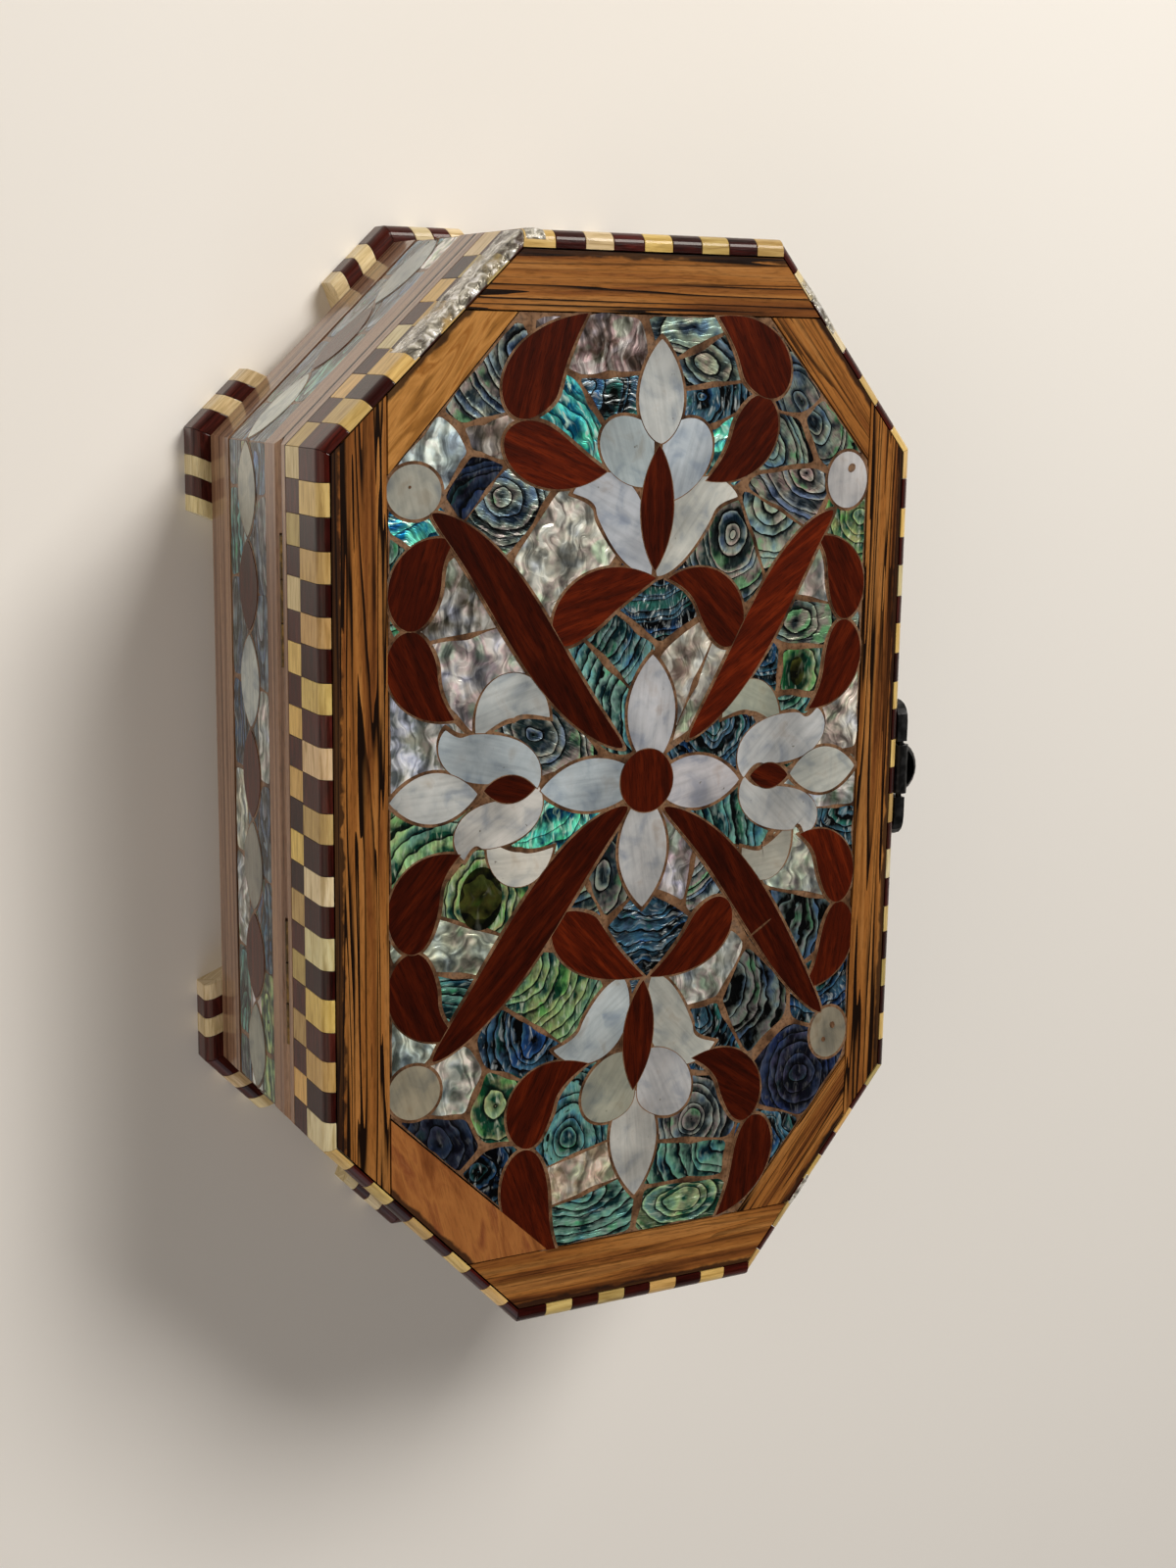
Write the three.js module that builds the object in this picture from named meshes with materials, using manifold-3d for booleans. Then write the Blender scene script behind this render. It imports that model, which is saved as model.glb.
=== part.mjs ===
// An inlaid wooden jewellery box: an elongated octagon on eight corner feet, with a hinged lid.
// Millimetres, +Z up, front (the latch side) towards -Y, the long way along X.
// The origin is the middle of the footprint, at the undersides of the feet.
import * as THREE from 'three';
import { mergeVertices } from 'three/addons/utils/BufferGeometryUtils.js';
import Module from 'manifold-3d';

const wasm = await Module();
wasm.setup();

// ---- driving dimensions ----
const HALF_LENGTH = 103.2; // body, centre to an end face
const HALF_WIDTH = 61.5; // body, centre to the front or back face
// how far each cut corner reaches along X and along Y; the box is hand made, so no two are equal
const CUT = {
  frontLeft: { x: 40.7, y: 32.0 },
  frontRight: { x: 38.7, y: 31.0 },
  backRight: { x: 38.0, y: 38.7 },
  backLeft: { x: 41.4, y: 39.2 },
};
const GAP = 0.3; // glue line or running gap between neighbouring pieces

const FOOT_HEIGHT = 7;
const FOOT_ARM = 15; // along each wall, from the corner
const FOOT_DEPTH = 11; // from the foot's outer face inwards
const FOOT_PROUD = 3.3; // beyond the body's face
const FOOT_ROUND = 2.4; // radius of the upper outer edge
const FOOT_REACH = FOOT_ARM + 1.4; // along the foot's own outer face, which stands out of the corner

const BASE_STRIP_TOP = 18.3; // heights above the ground
const BAND_TOP = 39.8;
const BODY_TOP = 47.0;
const LID_BOTTOM = BODY_TOP + GAP;
const LID_STRIP_TOP = 51.3;
const LOWER_CHECKER_TOP = 58.2;
const LID_TOP = 68.3;

const SKIN = 2.0; // thickness of the strips and inlay glued on the walls
const WALL_BOARD = 6.0; // the boards behind them
const FLOOR_BOARD = 5.0;
const LID_BOARD = 4.7;
const TOP_LAYER = 2.0; // the frame strips and the inlaid panel on the lid
const EDGE_ROUND = 2.2; // radius of the lid's top outer edge
const LID_RIM = [2.0, 2.0, 3.2, 2.0, 2.0, 2.0, 3.2, 2.0]; // checker seen from above, side by side

// the frame strips' inner edges, which bound the inlaid panel
const FIELD_FRONT = -51.3;
const FIELD_BACK = 48.9;
const FIELD_RIGHT = 89.0;
const FIELD_LEFT = -88.6;
const FIELD_CUT = {
  frontLeft: [[-88.6, -26.5], [-58.5, -51.3]],
  frontRight: [[62.3, -51.3], [89.0, -28.2]],
  backRight: [[89.0, 23.8], [60.4, 48.9]],
  backLeft: [[-56.9, 48.9], [-88.6, 16.3]],
};

const HINGE_INSET = 1.2; // pin axis, inwards from the back face
const HINGE_X = [-35, 37]; // middles of the two hinges
const HINGE_LENGTH = 24;
const KNUCKLE_RADIUS = 1.1;
const KNUCKLE_BORE = 0.65;
const MORTISE_CLEARANCE = 0.05; // between a leaf and the bottom of its mortise
const PIN_RADIUS = 0.45;
const LEAF_THICK = 0.8;
const LEAF_REACH = 6.2; // from the axis inwards
const GROOVE_SLOPE = 1.19; // rise of the bevelled seam edges for each mm outwards
const GROOVE_START = 0.2; // the bevels begin this far inside the pin axis

const LATCH_PLATE = { width: 28, top: 67.1, bottom: 53.6, thick: 2.3, corner: 4.2 };
const LATCH_PIN = { z: 65.9, out: 1.9, radius: 0.6, half: 7.6, clearance: 0.35, wall: 0.6 };
const LATCH_NOTCH = { half: 5.8, bottom: 60.0 };
const TONGUE = {
  half: 5.0, back: 2.9, thick: 1.0, bottom: 38.0,
  lip: 3.2, lipRise: 4.0, lipDrop: 1.2, lipBar: 0.6,
};
const STRAP_STOP = 0.1; // the strap ends this far under the bow's floor
const BOW = { x: 5.4, out: 4.7, z: 2.8, drop: 1.4, wall: 1.1, floor: 0.8 };
const CATCH = { half: 6.5, bottom: 36.6, top: 46.0, thick: 1.0, knob: 1.5, knobOut: 2.4, knobZ: 41.5 };

const FRONT_REACH = HALF_WIDTH + LATCH_PIN.out + BOW.out; // the latch bow is the foremost point
const BACK_REACH = HALF_WIDTH + FOOT_PROUD;
const CENTRE_Y = (FRONT_REACH - BACK_REACH) / 2; // puts the footprint's middle at the origin

const HINGE_Y = HALF_WIDTH - HINGE_INSET;
const HINGE_Z = (BODY_TOP + LID_BOTTOM) / 2;
const FAR = 300; // well beyond the box, for cutting blocks and lines

// ---- materials ----
const material = (color, roughness, metalness = 0) =>
  new THREE.MeshStandardMaterial({ color, roughness, metalness });
const FINISH = {
  board: () => material(0x9a6f45, 0.6),
  strip: () => material(0x8f6440, 0.3),
  frame: () => material(0xa0703c, 0.25),
  band: () => material(0x66757a, 0.25),
  checker: () => material(0x8a6a3c, 0.3),
  panel: () => material(0x6f7f80, 0.15),
  foot: () => material(0x7a4a30, 0.3),
  brass: () => material(0x8a6a30, 0.4, 0.9),
  latch: () => material(0x1f1f22, 0.45, 0.8),
};

const bodyGroup = new THREE.Group();
const lidGroup = new THREE.Group();

function place(group, name, geometry, finish) {
  const mesh = new THREE.Mesh(geometry, finish());
  mesh.name = name;
  group.add(mesh);
  return mesh;
}

// ---- outlines: eight sides, anticlockwise from the front side's left end ----
const SIDES = ['front', 'front_right', 'right', 'back_right', 'back', 'back_left', 'left', 'front_left'];

function bodyOutline() {
  const { frontLeft, frontRight, backRight, backLeft } = CUT;
  const [hl, hw] = [HALF_LENGTH, HALF_WIDTH];
  return [
    [-hl + frontLeft.x, -hw], [hl - frontRight.x, -hw],
    [hl, -hw + frontRight.y], [hl, hw - backRight.y],
    [hl - backRight.x, hw], [-hl + backLeft.x, hw],
    [-hl, hw - backLeft.y], [-hl, -hw + frontLeft.y],
  ].map(([x, y]) => new THREE.Vector2(x, y));
}

const sideDirection = (outline, i) =>
  outline[(i + 1) % outline.length].clone().sub(outline[i]).normalize();

function crossing(p, d, q, e) {
  const t = ((q.x - p.x) * e.y - (q.y - p.y) * e.x) / (d.x * e.y - d.y * e.x);
  return p.clone().addScaledVector(d, t);
}

// every side moved inwards by its own distance, or all by one
function inset(outline, distance) {
  const count = outline.length;
  const lines = outline.map((point, i) => {
    const d = sideDirection(outline, i);
    const step = Array.isArray(distance) ? distance[i] : distance;
    return { p: new THREE.Vector2(point.x - d.y * step, point.y + d.x * step), d };
  });
  return lines.map((line, i) => {
    const before = lines[(i + count - 1) % count];
    return crossing(before.p, before.d, line.p, line.d);
  });
}

// the part of a convex outline on the left of the line from a towards b
function clip(outline, a, b) {
  const d = b.clone().sub(a);
  const side = (p) => d.x * (p.y - a.y) - d.y * (p.x - a.x);
  const kept = [];
  outline.forEach((p, i) => {
    const q = outline[(i + 1) % outline.length];
    if (side(p) >= 0) kept.push(p);
    if (side(p) * side(q) < 0) kept.push(p.clone().lerp(q, side(p) / (side(p) - side(q))));
  });
  return kept;
}

const OUTER = bodyOutline();
const vec = ([x, y]) => new THREE.Vector2(x, y);

// ---- solids ----
function prism(outline, bottom, top, hole = null) {
  const shape = new THREE.Shape(outline);
  if (hole) shape.holes.push(new THREE.Path(hole));
  const geometry = new THREE.ExtrudeGeometry(shape, { depth: top - bottom, bevelEnabled: false });
  return geometry.translate(0, 0, bottom);
}

function solid(geometry) {
  const bare = geometry.clone();
  bare.deleteAttribute('normal');
  bare.deleteAttribute('uv');
  const merged = mergeVertices(bare, 1e-4);
  const vertProperties = new Float32Array(merged.attributes.position.array);
  const triVerts = new Uint32Array(merged.index.array);
  return new wasm.Manifold(new wasm.Mesh({ numProp: 3, vertProperties, triVerts }));
}

function geometryOf(manifold) {
  const mesh = manifold.getMesh();
  const geometry = new THREE.BufferGeometry();
  geometry.setAttribute('position', new THREE.BufferAttribute(new Float32Array(mesh.vertProperties), 3));
  geometry.setIndex(new THREE.BufferAttribute(new Uint32Array(mesh.triVerts), 1));
  return geometry;
}

const block = (x0, x1, y0, y1, z0, z1) =>
  new THREE.BoxGeometry(x1 - x0, y1 - y0, z1 - z0)
    .translate((x0 + x1) / 2, (y0 + y1) / 2, (z0 + z1) / 2);

// a bar lying along X
const barAlongX = (x0, x1, radius, y, z, facets = 20) =>
  new THREE.CylinderGeometry(radius, radius, x1 - x0, facets)
    .rotateZ(Math.PI / 2)
    .translate((x0 + x1) / 2, y, z);

// what every piece beside the rear seam leaves free: the groove, the knuckles and the leaves
function rearCuts(above) {
  const sign = above ? 1 : -1;
  const reach = HINGE_INSET + GROOVE_START + 1;
  const edge = above ? LID_BOTTOM : BODY_TOP;
  const wedge = [
    [HINGE_Y - GROOVE_START, edge - sign * GAP],
    [HINGE_Y - GROOVE_START, edge],
    [HINGE_Y - GROOVE_START + reach, edge + sign * reach * GROOVE_SLOPE],
    [HINGE_Y - GROOVE_START + reach, edge - sign * GAP],
  ].map(vec);
  const shape = new THREE.Shape(wedge);
  const groove = new THREE.ExtrudeGeometry(shape, { depth: 2 * HALF_LENGTH, bevelEnabled: false })
    .rotateX(Math.PI / 2)
    .rotateZ(Math.PI / 2)
    .translate(-HALF_LENGTH, 0, 0);
  let cuts = solid(groove);
  for (const x of HINGE_X) {
    const half = HINGE_LENGTH / 2 + GAP;
    const barrel = barAlongX(x - half, x + half, KNUCKLE_RADIUS + GAP, HINGE_Y, HINGE_Z);
    const inner = HINGE_Z + sign * (KNUCKLE_RADIUS + MORTISE_CLEARANCE);
    const mortise = block(x - half, x + half, HINGE_Y - LEAF_REACH - GAP, HINGE_Y,
      Math.min(inner, edge - sign * GAP), Math.max(inner, edge - sign * GAP));
    cuts = cuts.add(solid(barrel)).add(solid(mortise));
  }
  return cuts;
}

const cutBy = (geometry, cuts) => geometryOf(solid(geometry).subtract(cuts));

// ---- boards of the body and of the lid ----
// one mitred board behind each side, between two outlines
function wallBoards(group, prefix, outside, inside, bottom, top, rear) {
  SIDES.forEach((side, i) => {
    const next = (i + 1) % SIDES.length;
    const along = sideDirection(outside, i).multiplyScalar(GAP / 2);
    const outline = [
      outside[i].clone().add(along), outside[next].clone().sub(along),
      inside[next].clone().sub(along), inside[i].clone().add(along),
    ];
    const board = prism(outline, bottom, top);
    const atRear = side.startsWith('back');
    place(group, `${prefix}_${side}`, atRear ? cutBy(board, rear) : board, FINISH.board);
  });
}

const bodyCuts = rearCuts(false);
const lidCuts = rearCuts(true);
const bodySkinInside = inset(OUTER, SKIN);
const bodyBoards = inset(OUTER, SKIN + GAP);
const bodyInside = inset(OUTER, SKIN + GAP + WALL_BOARD);
const lidSkinInside = inset(OUTER, LID_RIM);
const lidBoards = inset(OUTER, LID_RIM.map((rim) => rim + GAP));
const lidInside = inset(lidBoards, WALL_BOARD);

place(bodyGroup, 'floor_board', prism(bodyBoards, FOOT_HEIGHT, FOOT_HEIGHT + FLOOR_BOARD), FINISH.board);
wallBoards(bodyGroup, 'wall', bodyBoards, bodyInside, FOOT_HEIGHT + FLOOR_BOARD + GAP, BODY_TOP, bodyCuts);

const lidBoardBottom = LID_TOP - TOP_LAYER - GAP - LID_BOARD;
place(lidGroup, 'lid_board', prism(lidBoards, lidBoardBottom, lidBoardBottom + LID_BOARD), FINISH.board);
wallBoards(lidGroup, 'lid_wall', lidBoards, lidInside, LID_BOTTOM, lidBoardBottom - GAP, lidCuts);

// ---- courses glued round the outside ----
function course(group, name, bottom, top, finish, cuts = null, inside = bodySkinInside) {
  const ring = prism(OUTER, bottom, top, inside);
  place(group, name, cuts ? cutBy(ring, cuts) : ring, finish);
}

course(bodyGroup, 'base_strips', FOOT_HEIGHT, BASE_STRIP_TOP - GAP, FINISH.strip);
course(bodyGroup, 'inlay_band', BASE_STRIP_TOP, BAND_TOP - GAP, FINISH.band);
course(bodyGroup, 'rim_strips', BAND_TOP, BODY_TOP, FINISH.strip, bodyCuts);
course(lidGroup, 'lid_strips', LID_BOTTOM, LID_STRIP_TOP - GAP, FINISH.strip, lidCuts, lidSkinInside);
course(lidGroup, 'checker_lower', LID_STRIP_TOP, LOWER_CHECKER_TOP - GAP, FINISH.checker, null,
  lidSkinInside);

// the upper checker course turns over the lid's rounded edge
function roundedCourse() {
  const depth = LID_TOP - LOWER_CHECKER_TOP + 3 * EDGE_ROUND;
  const shape = new THREE.Shape(OUTER);
  const rounded = new THREE.ExtrudeGeometry(shape, {
    depth: depth - 2 * EDGE_ROUND,
    bevelThickness: EDGE_ROUND,
    bevelSize: EDGE_ROUND,
    bevelOffset: -EDGE_ROUND,
    bevelSegments: 4,
  }).translate(0, 0, LID_TOP - depth + EDGE_ROUND);
  const below = block(-FAR, FAR, -FAR, FAR, 0, LOWER_CHECKER_TOP);
  const middle = prism(lidSkinInside, 0, LID_TOP + 1);
  return geometryOf(solid(rounded).subtract(solid(below)).subtract(solid(middle)));
}
place(lidGroup, 'checker_upper', roundedCourse(), FINISH.checker);

// ---- the lid's top: eight frame strips round the inlaid panel ----
// the long and end strips run out to the cut corners, and the corner strips butt between them
function lidTop() {
  const bottom = LID_TOP - TOP_LAYER;
  const whole = inset(OUTER, LID_RIM.map((rim) => rim + GAP));
  const g = GAP / 2;
  const line = {
    front: (s) => [vec([FAR, FIELD_FRONT + s]), vec([-FAR, FIELD_FRONT + s])],
    back: (s) => [vec([-FAR, FIELD_BACK + s]), vec([FAR, FIELD_BACK + s])],
    right: (s) => [vec([FIELD_RIGHT + s, FAR]), vec([FIELD_RIGHT + s, -FAR])],
    left: (s) => [vec([FIELD_LEFT + s, -FAR]), vec([FIELD_LEFT + s, FAR])],
  };
  const strips = {
    front: clip(whole, ...line.front(-g)),
    back: clip(whole, ...line.back(g)),
    right: clip(whole, ...line.right(g)),
    left: clip(whole, ...line.left(-g)),
  };
  const between = [line.front(g), line.back(-g), line.right(-g), line.left(g)]
    .reduce((outline, [a, b]) => clip(outline, b, a), whole);
  let panel = between;
  const corners = {
    front_left: FIELD_CUT.frontLeft, front_right: FIELD_CUT.frontRight,
    back_right: FIELD_CUT.backRight, back_left: FIELD_CUT.backLeft,
  };
  for (const [name, ends] of Object.entries(corners)) {
    const [a, b] = ends.map(vec);
    const d = b.clone().sub(a).normalize();
    const shift = (s) => new THREE.Vector2(d.y, -d.x).multiplyScalar(s);
    const outwards = shift(g);
    strips[name] = clip(between, b.clone().add(outwards), a.clone().add(outwards));
    panel = clip(panel, a.clone().sub(outwards), b.clone().sub(outwards));
  }
  for (const side of SIDES) {
    place(lidGroup, `frame_strip_${side}`, prism(strips[side], bottom, LID_TOP), FINISH.frame);
  }
  place(lidGroup, 'inlaid_panel', prism(panel, bottom, LID_TOP), FINISH.panel);
}
lidTop();

// ---- feet: one bent block under each corner, ends cut along the corner's bisector ----
function footOutline(corner) {
  const count = OUTER.length;
  const towardsNext = sideDirection(OUTER, corner);
  const towardsLast = sideDirection(OUTER, (corner + count - 1) % count).negate();
  const outer = inset(OUTER, -FOOT_PROUD)[corner];
  const inner = inset(OUTER, FOOT_DEPTH - FOOT_PROUD)[corner];
  const slant = inner.clone().sub(outer);
  const armEnd = (direction) => outer.clone().addScaledVector(direction, FOOT_REACH);
  const [last, next] = [armEnd(towardsLast), armEnd(towardsNext)];
  return [last, outer, next, next.clone().add(slant), inner, last.clone().add(slant)];
}

function foot(corner) {
  const depth = FOOT_HEIGHT + 3 * FOOT_ROUND;
  const shape = new THREE.Shape(footOutline(corner));
  const rounded = new THREE.ExtrudeGeometry(shape, {
    depth: depth - 2 * FOOT_ROUND,
    bevelThickness: FOOT_ROUND,
    bevelSize: FOOT_ROUND,
    bevelOffset: -FOOT_ROUND,
    bevelSegments: 3,
  }).translate(0, 0, FOOT_HEIGHT - GAP - depth + FOOT_ROUND);
  const below = block(-FAR, FAR, -FAR, FAR, -depth, 0);
  return geometryOf(solid(rounded).subtract(solid(below)));
}

const FOOT_NAMES = [
  'foot_front_near_left', 'foot_front_near_right', 'foot_right_near_front', 'foot_right_near_back',
  'foot_back_near_right', 'foot_back_near_left', 'foot_left_near_back', 'foot_left_near_front',
];
FOOT_NAMES.forEach((name, corner) => place(bodyGroup, name, foot(corner), FINISH.foot));

// ---- hinges ----
function hingeLeaf(x, above) {
  const half = HINGE_LENGTH / 2;
  const middle = HINGE_LENGTH / 6;
  const sign = above ? 1 : -1;
  const knuckles = above
    ? [[x - half, x - middle - GAP / 2], [x + middle + GAP / 2, x + half]]
    : [[x - middle + GAP / 2, x + middle - GAP / 2]];
  const faces = [KNUCKLE_RADIUS - LEAF_THICK, KNUCKLE_RADIUS]
    .map((r) => HINGE_Z + sign * r)
    .sort((a, b) => a - b);
  const leafEdge = HINGE_Y - KNUCKLE_RADIUS - GAP;
  let leaf = solid(block(x - half, x + half, HINGE_Y - LEAF_REACH, leafEdge, ...faces));
  for (const [x0, x1] of knuckles) {
    leaf = leaf.add(solid(block(x0, x1, HINGE_Y - LEAF_REACH, HINGE_Y, ...faces)));
    leaf = leaf.add(solid(barAlongX(x0, x1, KNUCKLE_RADIUS, HINGE_Y, HINGE_Z)));
  }
  const bore = barAlongX(x - HINGE_LENGTH, x + HINGE_LENGTH, KNUCKLE_BORE, HINGE_Y, HINGE_Z);
  return geometryOf(leaf.subtract(solid(bore)));
}

HINGE_X.forEach((x, i) => {
  const label = i === 0 ? 'left' : 'right';
  const half = HINGE_LENGTH / 2;
  place(bodyGroup, `hinge_${label}_box_leaf`, hingeLeaf(x, false), FINISH.brass);
  place(bodyGroup, `hinge_${label}_pin`,
    barAlongX(x - half, x + half, PIN_RADIUS, HINGE_Y, HINGE_Z, 12), FINISH.brass);
  place(lidGroup, `hinge_${label}_lid_leaf`, hingeLeaf(x, true), FINISH.brass);
});

// ---- latch: a plate on the lid, a tongue hung from its pin, and a catch on the body ----
const out = (distance) => -(HALF_WIDTH + distance); // Y of a point that far in front of the body

function latchPlate() {
  const { width, top, bottom, thick, corner } = LATCH_PLATE;
  const half = width / 2;
  const shape = new THREE.Shape();
  shape.moveTo(-half + corner, bottom);
  shape.lineTo(half - corner, bottom);
  shape.quadraticCurveTo(half, bottom, half, bottom + corner);
  shape.lineTo(half, top - corner);
  shape.quadraticCurveTo(half, top, half - corner, top);
  shape.lineTo(-half + corner, top);
  shape.quadraticCurveTo(-half, top, -half, top - corner);
  shape.lineTo(-half, bottom + corner);
  shape.quadraticCurveTo(-half, bottom, -half + corner, bottom);
  const plate = new THREE.ExtrudeGeometry(shape, { depth: thick, bevelEnabled: false, curveSegments: 5 })
    .rotateX(Math.PI / 2)
    .translate(0, out(GAP), 0);
  const notchHalf = LATCH_NOTCH.half;
  const notch = block(-notchHalf, notchHalf, out(thick + 1), out(-1), LATCH_NOTCH.bottom, top + 1);
  const pinY = out(LATCH_PIN.out);
  const pin = barAlongX(-LATCH_PIN.half, LATCH_PIN.half, LATCH_PIN.radius, pinY, LATCH_PIN.z, 14);
  return geometryOf(solid(plate).subtract(solid(notch)).add(solid(pin)));
}
place(lidGroup, 'latch_plate', latchPlate(), FINISH.latch);

// the tongue's head is bowed outwards round the pin and open at the top; its end curls out as a lip
function latchTongue() {
  const axisY = out(LATCH_PIN.out);
  const bowZ = LATCH_PIN.z - BOW.drop;
  const bulge = (x, y, z) => new THREE.SphereGeometry(1, 20, 12)
    .rotateZ(Math.PI / 2)
    .scale(x, y, z)
    .translate(0, axisY, bowZ);
  const inFront = block(-FAR, FAR, -FAR, axisY, 0, FAR);
  const hollow = solid(bulge(BOW.x - BOW.wall, BOW.out - BOW.wall, 2 * BOW.z))
    .intersect(solid(block(-FAR, FAR, -FAR, FAR, bowZ - BOW.floor, FAR)));
  const boreRadius = LATCH_PIN.radius + LATCH_PIN.clearance;
  const barrel = barAlongX(-TONGUE.half, TONGUE.half, boreRadius + LATCH_PIN.wall, axisY, LATCH_PIN.z);
  const strap = block(-TONGUE.half, TONGUE.half, out(TONGUE.back + TONGUE.thick), out(TONGUE.back),
    TONGUE.bottom, bowZ - BOW.floor - STRAP_STOP);
  const lip = barAlongX(-TONGUE.half, TONGUE.half, TONGUE.thick, out(TONGUE.back + TONGUE.thick),
    TONGUE.bottom + TONGUE.lipBar);
  const curl = new THREE.ExtrudeGeometry(new THREE.Shape([
    [out(TONGUE.back), TONGUE.bottom + TONGUE.lipRise],
    [out(TONGUE.back), TONGUE.bottom],
    [out(TONGUE.back + TONGUE.lip), TONGUE.bottom - TONGUE.lipDrop],
    [out(TONGUE.back + TONGUE.lip), TONGUE.bottom],
    [out(TONGUE.back + TONGUE.thick), TONGUE.bottom + TONGUE.lipRise],
  ].map(vec)), { depth: 2 * TONGUE.half, bevelEnabled: false })
    .rotateX(Math.PI / 2)
    .rotateZ(Math.PI / 2)
    .translate(-TONGUE.half, 0, 0);
  const bore = barAlongX(-FAR, FAR, boreRadius, axisY, LATCH_PIN.z);
  const head = solid(bulge(BOW.x, BOW.out, BOW.z)).intersect(solid(inFront));
  const pieces = [barrel, strap, lip, curl].map(solid);
  const joined = pieces.reduce((whole, piece) => whole.add(piece), head.subtract(hollow));
  return geometryOf(joined.subtract(solid(bore)));
}
place(lidGroup, 'latch_tongue', latchTongue(), FINISH.latch);

function latchCatch() {
  const plate = block(-CATCH.half, CATCH.half, out(GAP + CATCH.thick), out(GAP), CATCH.bottom, CATCH.top);
  const knob = new THREE.CylinderGeometry(CATCH.knob, CATCH.knob, CATCH.knobOut - GAP, 16)
    .translate(0, out((CATCH.knobOut + GAP) / 2), CATCH.knobZ);
  return geometryOf(solid(plate).add(solid(knob)));
}
place(bodyGroup, 'latch_catch', latchCatch(), FINISH.latch);

const shellBox = new THREE.Group();
shellBox.add(bodyGroup, lidGroup);
shellBox.position.y = CENTRE_Y;
export default shellBox;
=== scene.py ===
# %% [markdown]
# # An inlaid shell box
# A small wooden jewellery box in the shape of a stretched octagon. Its lid is a picture in shell and wood
# under clear lacquer, its edges carry two courses of small wooden squares, and it stands on eight bent
# corner feet. The construction is loaded as a fixed frame in metres, and every new piece here is laid on
# that frame.

# %% Load the frame
from math import comb, radians

import bmesh
import bpy
import numpy as np
from mathutils import Matrix, Vector


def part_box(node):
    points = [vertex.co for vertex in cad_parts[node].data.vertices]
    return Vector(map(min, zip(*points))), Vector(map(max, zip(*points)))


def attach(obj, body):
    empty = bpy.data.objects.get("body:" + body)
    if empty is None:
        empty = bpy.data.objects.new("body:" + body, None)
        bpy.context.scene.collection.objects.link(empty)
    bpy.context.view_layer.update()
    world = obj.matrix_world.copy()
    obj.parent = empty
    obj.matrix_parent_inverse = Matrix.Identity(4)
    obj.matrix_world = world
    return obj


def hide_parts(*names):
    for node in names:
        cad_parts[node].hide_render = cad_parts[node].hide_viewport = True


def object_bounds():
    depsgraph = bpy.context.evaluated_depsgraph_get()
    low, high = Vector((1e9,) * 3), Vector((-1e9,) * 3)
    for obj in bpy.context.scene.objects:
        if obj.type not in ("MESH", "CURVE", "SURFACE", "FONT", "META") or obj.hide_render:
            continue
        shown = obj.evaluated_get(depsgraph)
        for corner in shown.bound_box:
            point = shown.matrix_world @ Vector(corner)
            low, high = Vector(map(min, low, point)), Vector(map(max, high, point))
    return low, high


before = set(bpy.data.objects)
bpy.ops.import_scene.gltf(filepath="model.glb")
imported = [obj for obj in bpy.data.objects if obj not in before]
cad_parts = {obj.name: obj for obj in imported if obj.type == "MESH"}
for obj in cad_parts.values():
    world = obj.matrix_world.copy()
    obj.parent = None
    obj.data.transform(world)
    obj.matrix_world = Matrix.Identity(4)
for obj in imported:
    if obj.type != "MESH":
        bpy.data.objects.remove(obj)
frame_box = [list(corner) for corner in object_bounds()]
print("frame box in mm:", [[round(1000 * v, 1) for v in corner] for corner in frame_box])

MM = 0.001
rng = np.random.default_rng(7)

# %% [markdown]
# ## Camera
# The camera looks down on the lid from behind its right end, as a person holding the box would see it. It
# comes first, because it decides how fine each pattern has to be.

# %% Camera
camera_data = bpy.data.cameras.new("camera")
camera_data.sensor_width = 36.0
camera_data.lens = 48.7
camera = bpy.data.objects.new("camera", camera_data)
view_direction = Vector((-0.19748, -0.44731, -0.87230)).normalized()
view_up = Vector((0.98021, -0.07774, -0.18205))
view_right = view_direction.cross(view_up).normalized()
view_up = view_right.cross(view_direction).normalized()
camera.matrix_world = Matrix((
    (view_right.x, view_up.x, -view_direction.x, 0.08128),
    (view_right.y, view_up.y, -view_direction.y, 0.18813),
    (view_right.z, view_up.z, -view_direction.z, 0.41438),
    (0, 0, 0, 1),
))
bpy.context.scene.collection.objects.link(camera)
bpy.context.scene.camera = camera
bpy.context.scene.view_settings.view_transform = "Standard"
print("camera at", [round(v, 3) for v in camera.matrix_world.translation])

# %% [markdown]
# ## Nodes and colours
# Every finish below is a graph of shader nodes. One helper adds a node, sets its properties and either
# links or sets its sockets. Colours are written as the sRGB hex values that a paint chart would give, and
# turned to the linear values that the renderer computes with.

# %% Helpers for finishes
def linear(hex_code, alpha=1.0):
    """sRGB to linear, channel by channel: c/12.92 near black, and ((c + 0.055)/1.055)^2.4 above."""
    channels = np.array([int(hex_code[i:i + 2], 16) / 255 for i in (1, 3, 5)])
    curve = np.where(channels <= 0.04045, channels / 12.92, ((channels + 0.055) / 1.055) ** 2.4)
    return (*curve.tolist(), alpha)


def add(tree, kind, inputs=None, give=None, stops=None, **settings):
    """Adds one shader node and returns the output named by give, or else the first one in use. An input is
    linked when it's given another node's output, and set otherwise."""
    node = tree.nodes.new("ShaderNode" + kind)
    for name, value in settings.items():
        setattr(node, name, value)
    for key, value in (inputs or {}).items():
        if isinstance(value, bpy.types.NodeSocket):
            tree.links.new(value, node.inputs[key])
        else:
            node.inputs[key].default_value = value
    if stops:
        elements = node.color_ramp.elements
        while len(elements) < len(stops):
            elements.new(0.5)
        for element, (position, colour) in zip(elements, stops):
            element.position = position
            element.color = linear(colour) if isinstance(colour, str) else (*(colour,) * 3, 1)
    return node.outputs[give] if give else next(output for output in node.outputs if output.enabled)


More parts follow.
